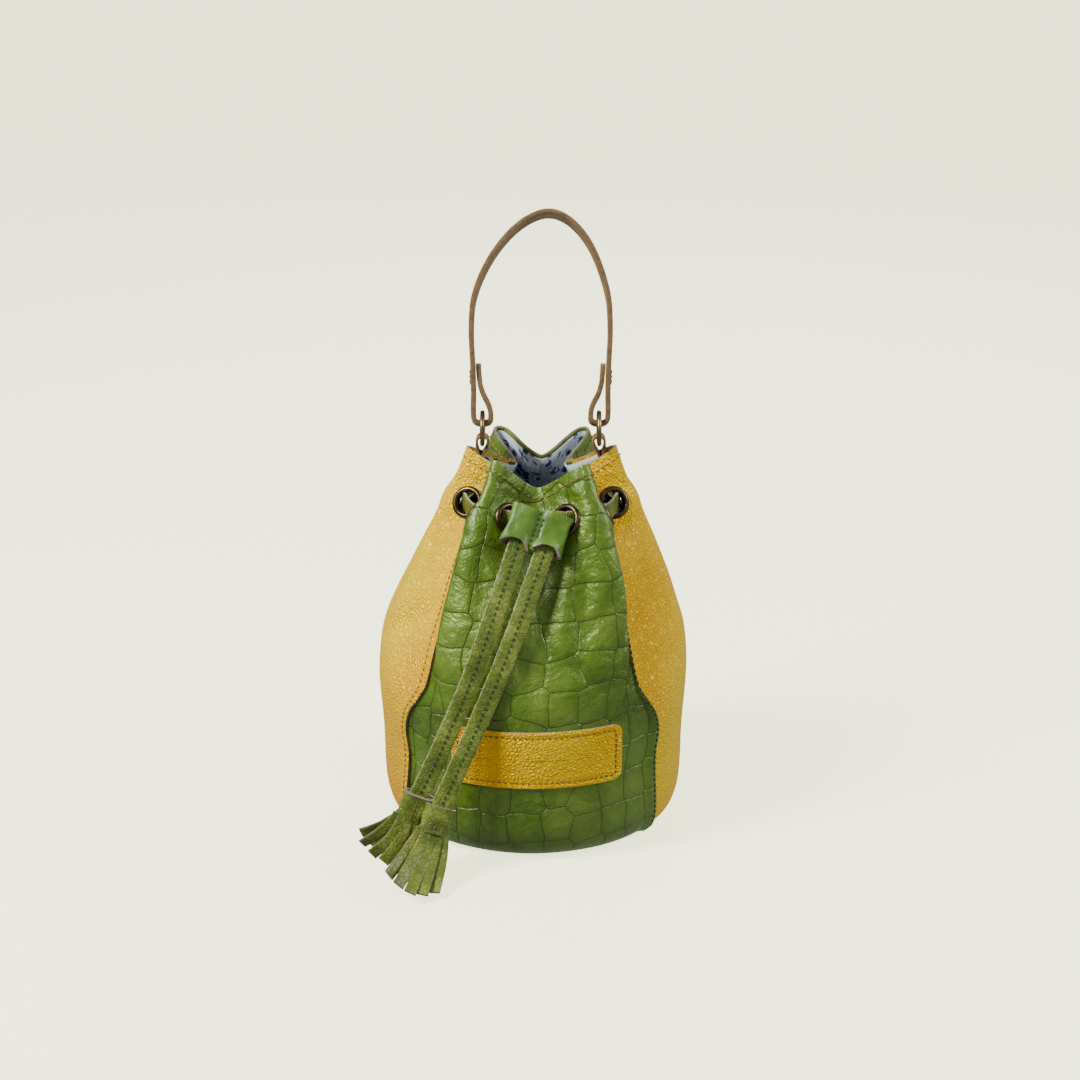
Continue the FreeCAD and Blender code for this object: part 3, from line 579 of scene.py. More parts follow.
# Panel: first and last spoke, leather, and whether its edges lap over the neighbours
PANELS = {
    "front_panel": (10, 14, GREEN, "green_leather", False, True),
    "right_side_panel": (2, 4, YELLOW, "yellow_leather", False, True),
    "back_panel": (4, 8, GREEN, "green_leather", False, False),
    "left_side_panel": (8, 10, YELLOW, "yellow_leather", True, True),
}


def place_step(place, level, distance):
    """The place a given distance in mm along the wall."""
    ring = ring_at(min(round(level), 212.0))
    per_place = (ring.at(place + 0.05) - ring.at(place - 0.05)).length / 0.1
    return place + distance / max(per_place, 8.0)


def cut_holes(item, radius):
    """Bores the eyelets' holes."""
    tools = []
    for centre, outward in HOLES:
        points, faces, count = [], [], 40
        side = outward.orthogonal().normalized()
        other = outward.cross(side)
        for end in (-9.0, 9.0):
            for step in range(count):
                turn = 2 * math.pi * step / count
                points.append(centre + outward * end
                              + (side * math.cos(turn) + other * math.sin(turn)) * radius)
        faces = [(s, (s + 1) % count, count + (s + 1) % count, count + s) for s in range(count)]
        faces += [tuple(reversed(range(count))), tuple(range(count, 2 * count))]
        mesh = bpy.data.meshes.new("bore")
        mesh.from_pydata([p * MM for p in points], [], faces)
        mesh.materials.append(RAW_BROWN)
        tool = bpy.data.objects.new("bore", mesh)
        bpy.context.scene.collection.objects.link(tool)
        if min((v.co - centre * MM).length for v in item.data.vertices) < 0.012:
            cutter = item.modifiers.new("bore", "BOOLEAN")
            cutter.operation = "DIFFERENCE"
            cutter.solver = "EXACT"
            cutter.object = tool
        tools.append(tool)
    bpy.context.view_layer.update()
    apply_modifiers(item)
    for tool in tools:
        bpy.data.objects.remove(tool)


def flat_angle(place):
    """The angle on the flat leather, from the spokes' angles at the base."""
    index = math.floor(place)
    base = ring_at(0.0)
    return base.angle(index) + (base.angle(index + 1) - base.angle(index)) * (place - index)


def grid_faces(columns, rows, closed=False):
    """Faces of a grid stored column by column."""
    span = columns if closed else columns - 1
    return [(c * rows + r, (c + 1) % columns * rows + r, (c + 1) % columns * rows + r + 1, c * rows + r + 1)
            for c in range(span) for r in range(rows - 1)]


def build_panel(name, first, last, material, slot, laps_first, laps_last):
    """One thick panel whose edges lap over a neighbour's or lie under them."""
    count = round((last - first) * 26)
    points, uv = [], []
    for column in range(count + 5):
        for level in [None] + LEVELS:
            at = level if level is not None else 0.0
            place = first + (last - first) * min(max(column - 2, 0), count) / count
            from_first = from_last = 0.0
            if column < 2 and not laps_first:
                place = place_step(first, at, -LAP * (2 - column) / 2)
            if column > count + 2 and not laps_last:
                place = place_step(last, at, LAP * (column - count - 2) / 2)
            if laps_first:
                from_first = column / 5
                if column < 5:
                    place = first + (last - first) * column * 0.6 / count
            if laps_last:
                from_last = (count + 4 - column) / 5
                if column > count - 1:
                    place = last - (last - first) * (count + 4 - column) * 0.6 / count
            lift = 0.0
            if laps_first:
                lift = max(lift, 1 - smooth_step(0.6, 1.6, from_first))
            if laps_last:
                lift = max(lift, 1 - smooth_step(0.6, 1.6, from_last))
            point, _ = wall(place, at, lift * LEATHER * 1.02 * smooth_step(0.0, 3.0, at))
            if level is None:
                flat = Vector((point.x, point.y, 0))
                point = flat * (FLOOR_RADIUS / flat.length) + Vector((0, 0, 0.05))
            points.append(point)
            uv.append((MM * FLAT_RADIUS * math.radians(flat_angle(place)), MM * at))
    rows = len(LEVELS) + 1
    item = add_mesh(name, points, grid_faces(count + 5, rows), [material, RAW_BROWN], "bag", uv=uv)
    thick = item.modifiers.new("thick", "SOLIDIFY")
    thick.thickness = LEATHER * MM
    thick.offset = -1.0
    thick.use_even_offset = False
    thick.use_rim = True
    thick.material_offset_rim = 1
    round_edges = item.modifiers.new("edges", "BEVEL")
    round_edges.width = 0.45 * MM
    round_edges.segments = 2
    round_edges.limit_method = "ANGLE"
    round_edges.angle_limit = math.radians(62)
    apply_modifiers(item)
    cut_holes(item, 6.75)
    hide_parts(name)
    return item


for panel_name, settings in PANELS.items():
    build_panel(panel_name, *settings)


def build_lining():
    """The printed cotton just inside the leather, up to the turned rim."""
    count = 240
    levels = [4.6, 7.0, 10.0, 15.0, 22.0] + [22.0 + 3.4 * step for step in range(1, 56)]
    levels = [level for level in levels if level < RIM_HIGH - 3.0] + [RIM_HIGH - 1.6]
    points, uv = [], []
    for column in range(count):
        place = column * SPOKE_COUNT / count
        for level in levels:
            point, _ = wall(place, level, -LEATHER - 0.35)
            points.append(point)
            uv.append((MM * FLAT_RADIUS * math.radians(flat_angle(place)), MM * level))
    item = add_mesh("lining_cloth", points, grid_faces(count, len(levels), closed=True), [LINING], "bag",
                    uv=uv)
    thick = item.modifiers.new("thick", "SOLIDIFY")
    thick.thickness = 0.7 * MM
    thick.offset = -1.0
    apply_modifiers(item)
    cut_holes(item, 6.75)
    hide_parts("lining_wall")


build_lining()


def place_at_x(target, level, low, high):
    """The place on the front of the wall that stands at an x, between two places."""
    for _ in range(26):
        middle = (low + high) / 2
        if ring_at(level).at(middle).x < target:
            low = middle
        else:
            high = middle
    return (low + high) / 2


LABEL_MIDDLE = Vector((2.3, 61.0))
LABEL_HALF = Vector((45.0, 16.5))
LABEL_CORNER = 5.0
LABEL_THICK = 1.3


def label_point(across, up, proud):
    """A point over the label, from its middle, in mm along x and z."""
    level = LABEL_MIDDLE.y + up
    place = place_at_x(LABEL_MIDDLE.x + across, level, 10.0, 14.0)
    return wall(place, level, proud)


def label_outline(inset, count=14):
    """The label's rounded outline, drawn in by an inset."""
    corner = LABEL_CORNER - min(inset, LABEL_CORNER - 1.0)
    reach = Vector((LABEL_HALF.x - inset - corner, LABEL_HALF.y - inset - corner))
    outline = []
    for quarter, (sx, sy) in enumerate(((1, 1), (-1, 1), (-1, -1), (1, -1))):
        for step in range(7):
            turn = math.pi / 2 * (quarter + step / 6)
            outline.append(Vector((sx * reach.x + corner * math.cos(turn),
                                   sy * reach.y + corner * math.sin(turn))))
        # points along the straight that follows
        end = outline[-1]
        following = (((-1, 1), (-1, -1), (1, -1), (1, 1))[quarter])
        turn = math.pi / 2 * (quarter + 1)
        goal = Vector((following[0] * reach.x + corner * math.cos(turn),
                       following[1] * reach.y + corner * math.sin(turn)))
        parts = count if quarter % 2 == 0 else count // 2
        outline += [end.lerp(goal, part / parts) for part in range(1, parts)]
    return outline


def build_label():
    """A thick patch with a pressed-down stitch line, its cut edge showing."""
    rings = [(0.0, 0.05), (0.0, LABEL_THICK - 0.2), (0.35, LABEL_THICK), (2.2, LABEL_THICK - 0.05),
             (3.2, LABEL_THICK - 0.4), (4.2, LABEL_THICK - 0.05), (6.0, LABEL_THICK + 0.05),
             (9.0, LABEL_THICK)]
    points, uv = [], []
    for inset, proud in rings:
        for spot in label_outline(inset):
            points.append(label_point(spot.x, spot.y, proud)[0])
            uv.append((MM * spot.x, MM * spot.y))
    ring_size = len(label_outline(0.0))
    shrunk = label_outline(9.0)
    for share in (0.75, 0.5, 0.25, 0.02):
        for spot in shrunk:
            inner = Vector((spot.x * (0.9 + 0.1 * share), spot.y * share))
            points.append(label_point(inner.x, inner.y, LABEL_THICK)[0])
            uv.append((MM * inner.x, MM * inner.y))
    levels = len(rings) + 4
    faces, paint = [], []
    for level in range(levels - 1):
        for step in range(ring_size):
            here, after = level * ring_size + step, level * ring_size + (step + 1) % ring_size
            faces.append((here, after, after + ring_size, here + ring_size))
            paint.append(1 if level == 0 else 0)
    inner_ring = [(levels - 1) * ring_size + step for step in range(ring_size)]
    faces.append(tuple(inner_ring))
    paint.append(0)
    faces.append(tuple(reversed(range(ring_size))))
    paint.append(1)
    item = add_mesh("label", points, faces, [YELLOW, RAW_BROWN], "bag", paint, uv)
    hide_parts("label_patch")


build_label()


def stitches(name, line, material, pitch, thick, body="bag", gap=0.3, sink=0.1, skew=0.0):
    """Saddle stitches along a line of (point, normal) pairs in mm: short plump threads, sunk at both ends."""
    lengths = [0.0]
    for (before, _), (after, _) in zip(line, line[1:]):
        lengths.append(lengths[-1] + (after - before).length)

    def along(distance):
        for index in range(len(line) - 1):
            if distance <= lengths[index + 1] or index == len(line) - 2:
                span = max(lengths[index + 1] - lengths[index], 1e-6)
                share = (distance - lengths[index]) / span
                return (line[index][0].lerp(line[index + 1][0], share),
                        line[index][1].lerp(line[index + 1][1], share).normalized())

    sides, rings = 8, [(-0.5, 0.25, -0.9), (-0.42, 0.75, -0.35), (-0.2, 1.0, 0.1), (0.0, 1.05, 0.25),
                       (0.2, 1.0, 0.1), (0.42, 0.75, -0.35), (0.5, 0.25, -0.9)]
    count = max(1, round(lengths[-1] / pitch))
    real_pitch = lengths[-1] / count
    points, faces = [], []
    for number in range(count):
        middle, normal = along((number + 0.5) * real_pitch)
        start = along((number + 0.5 * gap) * real_pitch)[0]
        end = along((number + 1 - 0.5 * gap) * real_pitch)[0]
        way = end - start
        reach = way.length
        way.normalize()
        side = way.cross(normal).normalized()
        way = (way + side * skew).normalized()
        side = way.cross(normal).normalized()
        base = len(points)
        for share, plump, lift in rings:
            centre = middle + way * (share * reach) + normal * (thick * (0.5 + 0.5 * lift) - sink)
            centre += normal * ((start - middle).dot(normal) * 4 * share * share
                                if abs(share) < 0.45 else 0.0)
            for step in range(sides):
                turn = 2 * math.pi * step / sides
                points.append(centre + (side * math.cos(turn) + normal * math.sin(turn))
                              * (0.5 * thick * plump))
        for ring in range(len(rings) - 1):
            for step in range(sides):
                here = base + ring * sides + step
                after = base + ring * sides + (step + 1) % sides
                faces.append((here, after, after + sides, here + sides))
        faces.append(tuple(base + step for step in reversed(range(sides))))
        faces.append(tuple(base + (len(rings) - 1) * sides + step for step in range(sides)))
    return add_mesh(name, points, faces, [material], body)


def rim_line(first, last, drop):
    """A line along the rim between two places, a given drop in mm below it."""
    line = []
    count = round((last - first) * 40)
    for step in range(count + 1):
        place = first + (last - first) * step / count
        top = rim_height(place)
        level = RIM_HIGH - drop * (RIM_HIGH - 150.0) / (top - 150.0)
        line.append(wall(place, level, 0.0))
    return line


def seam_line(spoke, offset, low, high, proud):
    """A line beside a seam, offset along the wall."""
    levels = [low + (high - low) * step / 70 for step in range(71)]
    return [wall(place_step(spoke, level, offset), level, proud) for level in levels]


stitches("hem_stitches_front", rim_line(10.12, 13.9, 5.0), OCHRE_THREAD, 3.6, 0.75)
stitches("hem_stitches_right", rim_line(2.05, 3.95, 5.0), OCHRE_THREAD, 3.6, 0.75)
stitches("hem_stitches_back", rim_line(4.1, 7.9, 5.0), OCHRE_THREAD, 3.6, 0.75)
stitches("hem_stitches_left", rim_line(8.05, 9.95, 5.0), OCHRE_THREAD, 3.6, 0.75)
TOP_OF_SEAM = RIM_HIGH - 5.0
stitches("seam_stitches_right", seam_line(14.0, -2.2, 6.0, TOP_OF_SEAM, LEATHER), GREEN_THREAD, 3.4, 0.7)
stitches("seam_stitches_left", seam_line(10.0, -2.4, 6.0, TOP_OF_SEAM, LEATHER), OCHRE_THREAD, 3.4, 0.7)
stitches("seam_stitches_back_right", seam_line(4.0, -2.2, 6.0, TOP_OF_SEAM, LEATHER), OCHRE_THREAD, 3.4, 0.7)
stitches("seam_stitches_back_left", seam_line(8.0, 2.2, 6.0, TOP_OF_SEAM, LEATHER), OCHRE_THREAD, 3.4, 0.7)
label_line = [label_point(spot.x, spot.y, LABEL_THICK - 0.35) for spot in label_outline(3.2)]
stitches("label_stitches", label_line + label_line[:1], BROWN_THREAD, 3.1, 0.65)


# ---------------------------------------------------------------------------
# Eyelets
# ---------------------------------------------------------------------------

# Radius and height above the wall of the domed eyelet's section, from the barrel's inner end and round
EYELET = [(6.75, -3.4), (6.35, -3.4), (6.2, -2.6), (6.2, 0.9), (6.45, 1.6), (7.0, 2.0), (7.7, 1.95),
          (8.5, 1.45),
          (8.95, 0.75), (9.0, 0.35), (8.7, 0.15), (7.4, 0.15), (6.75, -0.2)]
WASHER = [(6.9, -3.5), (6.9, -4.1), (7.3, -4.4), (7.9, -4.35), (8.3, -3.9), (8.3, -3.2), (7.6, -3.1)]
HOLE_GROUPS = {"front": (10, 11, 0, 1), "right_side": (2, 3), "back": (4, 5, 6, 7), "left_side": (8, 9)}


def turned(name, section, holes, node, material):
    """Rings turned about the eyelets' axes."""
    sides = 56
    points, faces = [], []
    for index in holes:
        centre, outward = HOLES[index]
        side = outward.orthogonal().normalized()
        other = outward.cross(side)
        base = len(points)
        for step in range(sides):
            turn = 2 * math.pi * step / sides
            way = side * math.cos(turn) + other * math.sin(turn)
            points += [centre + way * radius + outward * height for radius, height in section]
        size = len(section)
        for step in range(sides):
            for spot in range(size):
                here, after = base + step * size, base + (step + 1) % sides * size
                faces.append((here + spot, after + spot, after + (spot + 1) % size, here + (spot + 1) % size))
    item = add_mesh(name, points, faces, [material], "bag")
    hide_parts(node)


for group, holes in HOLE_GROUPS.items():
    turned(f"{group}_domed_eyelets", EYELET, holes, f"{group}_eyelets", BRASS)
    turned(f"{group}_backing_washers", WASHER, holes, f"{group}_washers", BRASS)


# ---------------------------------------------------------------------------
# Straps
# ---------------------------------------------------------------------------

def spline_line(name, route, spacing):
    """Evenly spaced points in mm on the smooth line that a route's corners guide."""
    curve = bpy.data.curves.new(name, "CURVE")
    curve.dimensions = "3D"
    curve.resolution_u = 40
    spline = curve.splines.new("NURBS")
    spline.points.add(len(route) - 1)
    for point, spot in zip(spline.points, route):
        point.co = (*(spot * MM), 1.0)
    spline.order_u = 3
    spline.use_endpoint_u = True
    guide = bpy.data.objects.new(name, curve)
    bpy.context.scene.collection.objects.link(guide)
    mesh = bpy.data.meshes.new_from_object(guide)
    raw = [vertex.co / MM for vertex in mesh.vertices]
    bpy.data.objects.remove(guide)
    bpy.data.curves.remove(curve)
    bpy.data.meshes.remove(mesh)
    lengths = [0.0]
    for before, after in zip(raw, raw[1:]):
        lengths.append(lengths[-1] + (after - before).length)
    count = max(2, round(lengths[-1] / spacing))
    line, index = [], 0
    for step in range(count + 1):
        distance = lengths[-1] * step / count
        while index < len(raw) - 2 and lengths[index + 1] < distance:
            index += 1
        span = max(lengths[index + 1] - lengths[index], 1e-9)
        line.append(raw[index].lerp(raw[index + 1], (distance - lengths[index]) / span))
    return line, lengths[-1]


# Half a strap's section, as shares of its width and thickness, from edge to edge over the grain side
SECTION = [(-1.0, 0.25), (-0.97, 0.75), (-0.86, 1.0), (-0.5, 1.06), (0.0, 1.08), (0.5, 1.06), (0.86, 1.0),
           (0.97, 0.75), (1.0, 0.25)]


def ribbon(name, line, width, thick, side_way, materials, body="bag", crease=0.0, crease_pitch=6.0,
           ragged=0.0, turn=None):
    """A flat strap along a line. Its materials are the grain side, the cut edges and the flesh side.
    Width may be a function of the share along the strap, and side_way gives the width's direction."""
    size = 2 * len(SECTION)
    points, faces, paint = [], [], []
    last = len(line) - 1
    distance = 0.0
    for index, centre in enumerate(line):
        share = index / last
        tangent = (line[min(index + 1, last)] - line[max(index - 1, 0)]).normalized()
        if index:
            distance += (centre - line[index - 1]).length
        side = side_way(share) if callable(side_way) else side_way
        side = (side - tangent * side.dot(tangent)).normalized()
        if turn:
            side = Matrix.Rotation(turn(share), 3, tangent) @ side
        normal = side.cross(tangent).normalized()
        half = (width(share) if callable(width) else width) / 2
        dent = 0.0
        if crease:
            wave = math.sin(2 * math.pi * (distance / crease_pitch + 0.35 * noise.noise(centre * 0.11)))
            dent = crease * max(0.0, wave) ** 4
        upper, lower = [], []
        for across, high in SECTION:
            frill = (ragged * noise.noise(centre * 0.8 + Vector((across * 9, 0, 0)))
                     if abs(across) > 0.9 else 0.0)
            at = centre + side * (half * across + (frill if across > 0 else -frill))
            up = thick / 2 * high - dent * (1 - 0.3 * across * across)
            upper.append(at + normal * up)
            lower.append(at - normal * (thick / 2 * high * (1 if abs(across) > 0.9 else 0.94) + 0.4 * dent))
        points += upper + list(reversed(lower))
    for index in range(last):
        for spot in range(size):
            here, after = index * size + spot, (index + 1) * size + spot
            right = index * size + (spot + 1) % size
            right_after = (index + 1) * size + (spot + 1) % size
            faces.append((here, after, right_after, right))
            on_upper = spot < len(SECTION) - 1
            mirrored = spot if on_upper else size - 2 - spot
            if spot in (len(SECTION) - 1, size - 1) or mirrored in (0, len(SECTION) - 2):
                paint.append(1)
            else:
                paint.append(0 if on_upper else 2)
    faces += [tuple(range(size)), tuple(last * size + spot for spot in reversed(range(size)))]
    paint += [1, 1]
    return add_mesh(name, points, faces, materials, body, paint)


STRAP_WIDTH, STRAP_THICK, STRAP_PITCH = 10.4, 1.8, 14.6
HANG_LEAN = math.radians(22.0)
DOWN = Vector((-math.sin(HANG_LEAN), 0, -math.cos(HANG_LEAN)))
ACROSS = Vector((math.cos(HANG_LEAN), 0, -math.sin(HANG_LEAN)))
HANG_TOP = Vector((5.9, 0, 188.0))
HANG_ROUTE = [(0.0, -50.0), (52.0, -77.5), (107.0, -88.5), (161.0, -94.0)]
STRAP_SKINS = [GREEN_STRAP, RAW_PALE, RAW_BROWN]


def hang_point(run, depth, shift):
    """A point of a free end: run down the plane, shift along the strap's width."""
    return HANG_TOP + DOWN * run + ACROSS * shift + Vector((0, depth, 0))


def strip_line(name, start, corners, spacing=1.6):
    """A short strip's line from its start through corners given relative to it."""
    return spline_line(name, [start] + [start + Vector(corner) for corner in corners], spacing)[0]


def join(name, items, body):
    """Joins pieces into one object and keeps each one's materials."""
    points, faces, paint, materials = [], [], [], []
    for item in items:
        mesh = item.data
        base = len(points)
        points += [vertex.co / MM for vertex in mesh.vertices]
        index_of = []
        for material in mesh.materials:
            if material not in materials:
                materials.append(material)
            index_of.append(materials.index(material))
        for polygon in mesh.polygons:
            faces.append(tuple(base + vertex for vertex in polygon.vertices))
            paint.append(index_of[polygon.material_index])
        bpy.data.objects.remove(item)
    return add_mesh(name, points, faces, materials, body, paint)


def flat_tube(name, centre_line, half_wide, half_deep, wide_way, wall_thick, materials, body="bag",
              power=2.6, dents=0.0, arch=0.0):
    """A short sleeve of leather with a rounded flat section. Materials: grain, cut edge. Arch draws the
    far end's front edge back along the sleeve."""
    sides = 48
    points, faces, paint = [], [], []
    last = len(centre_line) - 1
    for layer in (0, 1):
        for index, centre in enumerate(centre_line):
            share = index / last
            tangent = (centre_line[min(index + 1, last)] - centre_line[max(index - 1, 0)]).normalized()
            wide = (wide_way - tangent * wide_way.dot(tangent)).normalized()
            deep = wide.cross(tangent).normalized()
            across = (half_wide(share) if callable(half_wide) else half_wide) - layer * wall_thick
            through = (half_deep(share) if callable(half_deep) else half_deep) - layer * wall_thick
            for step in range(sides):
                turn = 2 * math.pi * step / sides
                c, s = math.cos(turn), math.sin(turn)
                x = math.copysign(abs(c) ** (2 / power), c) * across
                y = math.copysign(abs(s) ** (2 / power), s) * through
                spot = centre + wide * x + deep * y
                spot -= tangent * (arch * max(0.0, s) ** 2 * share ** 3)
                if dents:
                    away = (wide * c + deep * s).normalized()
                    spot += away * dents * noise.noise(
                        Vector((c * 1.6, s * 1.6, share * 3.2)) + centre_line[0])
                points.append(spot)
    ring = len(centre_line) * sides
    for index in range(last):
        for step in range(sides):
            here, after = index * sides + step, index * sides + (step + 1) % sides
            faces.append((here, after, after + sides, here + sides))
            paint.append(0)
            faces.append((ring + after, ring + here, ring + here + sides, ring + after + sides))
            paint.append(1)
    for end in (0, last):
        for step in range(sides):
            here, after = end * sides + step, end * sides + (step + 1) % sides
            quad = (after, here, ring + here, ring + after)
            faces.append(quad if end == 0 else tuple(reversed(quad)))
            paint.append(1)
    return add_mesh(name, points, faces, materials, body, paint)


# Each tassel is a strip of strap leather rolled flat round the strap's end and cut into a fringe.
# Each strip of a fringe: shift along the roll's width, depth, and its corners below the roll
ROLL_WIDE, ROLL_DEEP = 8.2, 3.6
TASSEL_SKINS = [GREEN_STRAP, RAW_BROWN, RAW_BROWN]
LEFT_FRINGE = [
    (-6.6, -1.8, [(-5, -1, -6), (-13, -2, -12), (-24, -2, -17)]),
    (-3.4, -2.2, [(-4, -2, -8), (-11, -3, -15), (-21, -4, -21)]),
    (-0.2, -2.2, [(-3, -2, -9), (-9, -3, -17), (-17, -4, -24)]),
    (3.2, -1.9, [(-3, -1, -9), (-8, -3, -17), (-13, -4, -25)]),
    (6.2, -1.4, [(-2, -1, -8), (-5, -2, -16), (-8, -3, -24)]),
    (-5.0, 1.2, [(-6, 0, -5), (-15, 1, -10), (-27, 1, -13)]),
    (-1.6, 1.6, [(-6, 1, -7), (-14, 1, -13), (-24, 1, -19)]),
    (2.4, 1.4, [(-2, 1, -9), (-7, 0, -17), (-12, -1, -24)]),
]
RIGHT_FRINGE = [
    (-6.4, -1.8, [(-5, -3, -7), (-12, -11, -13), (-20, -22, -17)]),
    (-3.3, -2.2, [(-4, -4, -8), (-10, -14, -14), (-17, -27, -19)]),
    (0.0, -2.3, [(-3, -4, -9), (-8, -15, -16), (-13, -29, -21)]),
    (3.2, -2.0, [(-2, -4, -9), (-5, -14, -16), (-9, -27, -22)]),
    (6.3, -1.6, [(0, -3, -9), (-2, -12, -16), (-5, -23, -22)]),
    (-5.0, 1.0, [(-4, -1, -8), (-9, -8, -15), (-15, -17, -20)]),
    (-1.0, 1.4, [(-3, -1, -9), (-6, -8, -16), (-10, -17, -22)]),
    (3.0, 1.3, [(-1, -1, -9), (-2, -7, -17), (-4, -15, -23)]),
]
# Name: shift of its strap, middle line of the roll from the strap's end, and its fringe
TASSELS = {
    "left": (-STRAP_PITCH / 2, [(1.6, 0.4, 4.0), (-1.0, -0.3, -2.5), (-4.0, -0.8, -9.5)], LEFT_FRINGE),
    "right": (STRAP_PITCH / 2, [(1.6, 0.2, 4.0), (-0.6, -1.8, -2.5), (-2.6, -4.6, -9.5)], RIGHT_FRINGE),
}


def build_tassel(side, shift, roll, fringe):
    """The roll with its layered top edge, and the strips cut below it."""
    end = hang_point(*HANG_ROUTE[-1], shift) + Vector(SWAY[side][-1])
    line, _ = spline_line("roll", [end + Vector(spot) for spot in roll], 0.9)
    pieces = [flat_tube("roll_outer", line, lambda share: ROLL_WIDE - 0.8 * share,
                        lambda share: ROLL_DEEP + 1.5 * (1 - share) ** 2, ACROSS, 1.6, TASSEL_SKINS[:2],
                        dents=0.7)]
    inner = [spot.lerp(line[len(line) // 2], 0.04) for spot in line]
    pieces.append(flat_tube("roll_inner", inner, ROLL_WIDE - 1.9, ROLL_DEEP - 1.4, ACROSS, 0.9,
                            [RAW_BROWN, RAW_BROWN], dents=0.3))
    foot = line[-1]
    way = (line[-1] - line[-3]).normalized()
    for across, depth, corners in fringe:
        start = foot - way * 2.0 + ACROSS * across * 0.98 + Vector((0, depth, 0))
        start_near = [way * 3.0]
        # The strips hang closer together than they were cut
        hung = [(0.78 * left - 1.0, near, down) for left, near, down in corners]
        strip = strip_line("strip", start, [tuple(start_near[0])] + hung)
        spread = 0.08 * across
        pieces.append(ribbon("strip", strip, lambda share: 5.9 + 0.8 * share, 1.3,
                             -ACROSS, TASSEL_SKINS, crease=0.25, crease_pitch=5.0, ragged=0.15,
                             turn=lambda share, spread=spread: spread * share))
    tassel = join(f"{side}_fringe", pieces, "bag")
    front = [(spot + Vector((0, -ROLL_DEEP - 0.15, 0)), Vector((0, -1, 0))) for spot in line[1:-1]]
    stitches(f"{side}_tassel_stitches", front, BROWN_THREAD, 2.8, 0.8)
    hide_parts(f"tassel_{side}")
    return tassel


# How the real straps bow away from the plain route at its four corners
SWAY = {
    "left": [(0, 0, 0), (1.5, -0.4, 0), (3.4, -0.4, 0), (0, 0, 0)],
    "right": [(0, 0, 0), (1.0, -0.4, 0), (0.5, -1.2, 0), (-2.2, -2.6, 0)],
}


def build_free_end(side, shift, roll, fringe):
    """A hanging strap with its centre stitches, and the tassel on its end."""
    tassel = build_tassel(side, shift, roll, fringe)
    route = [hang_point(run, depth, shift) + Vector(spot)
             for (run, depth), spot in zip(HANG_ROUTE, SWAY[side])]
    line, length = spline_line("strap_line", route, 1.3)
    strap = ribbon(f"{side}_strap", line, STRAP_WIDTH, STRAP_THICK, -ACROSS, STRAP_SKINS,
                   crease=0.35, crease_pitch=5.6, ragged=0.5)
    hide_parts(f"drawstring_end_{side}")
    seam = []
    for index in range(4, len(line) - 1):
        tangent = (line[index + 1] - line[index - 1]).normalized()
        normal = tangent.cross(ACROSS).normalized()
        seam.append((line[index] + normal * (STRAP_THICK / 2 * 1.02), normal))
    stitches(f"{side}_strap_stitches", seam, GREEN_THREAD, 3.3, 0.75)
    print(f"{side} strap {length:.1f} mm")


for side, settings in TASSELS.items():
    build_free_end(side, *settings)


def build_drawstring():
    """The strap through the eyelets, and its two leads from the front eyelets into the slider."""
    proud = 1.6
    route = []
    for index in range(1, 11):
        centre = HOLES[index][0]
        route.append(centre + Vector((centre.x, centre.y, 0)).normalized() * proud)
    pieces = []
    for hole, shift, sign in ((0, STRAP_PITCH / 2, 1), (11, -STRAP_PITCH / 2, -1)):
        centre, outward = HOLES[hole]
        top = hang_point(*HANG_ROUTE[0], shift)
        along = (hang_point(*HANG_ROUTE[1], shift) - top).normalized()
        lead = [centre - outward * 7.0 + Vector((sign * 7.0, 0, 0)), centre - outward * 1.0,
                centre + outward * 6.5 - Vector((sign * 3.0, 0, 0)), top - along * 2.0,
                top + along * 6.0]
        line, _ = spline_line("lead", lead, 1.0)
        pieces.append(ribbon("lead", line,
                             lambda share: STRAP_WIDTH * (0.86 + 0.14 * smooth_step(0.4, 1.0, share)),
                             STRAP_THICK,
                             lambda share, s=sign: Vector((0, 0, s)).lerp(
                                 -ACROSS, smooth_step(0.25, 0.85, share)),
                             STRAP_SKINS, ragged=0.2))
    first, last = HOLES[0][0], HOLES[11][0]
    whole = [first] + route + [last]
    line, _ = spline_line("loop_line", whole, 1.6)
    pieces.append(ribbon("loop", line, STRAP_WIDTH * 0.94, STRAP_THICK, Vector((0, 0, -1)), STRAP_SKINS,
                         ragged=0.3))
    loop = join("drawstring", pieces, "bag")
    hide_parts("drawstring_loop")


build_drawstring()


# ---------------------------------------------------------------------------
# Slider
# ---------------------------------------------------------------------------

SLIDER_LONG = 22.0
SLIDER_LEAN = math.radians(14.0)


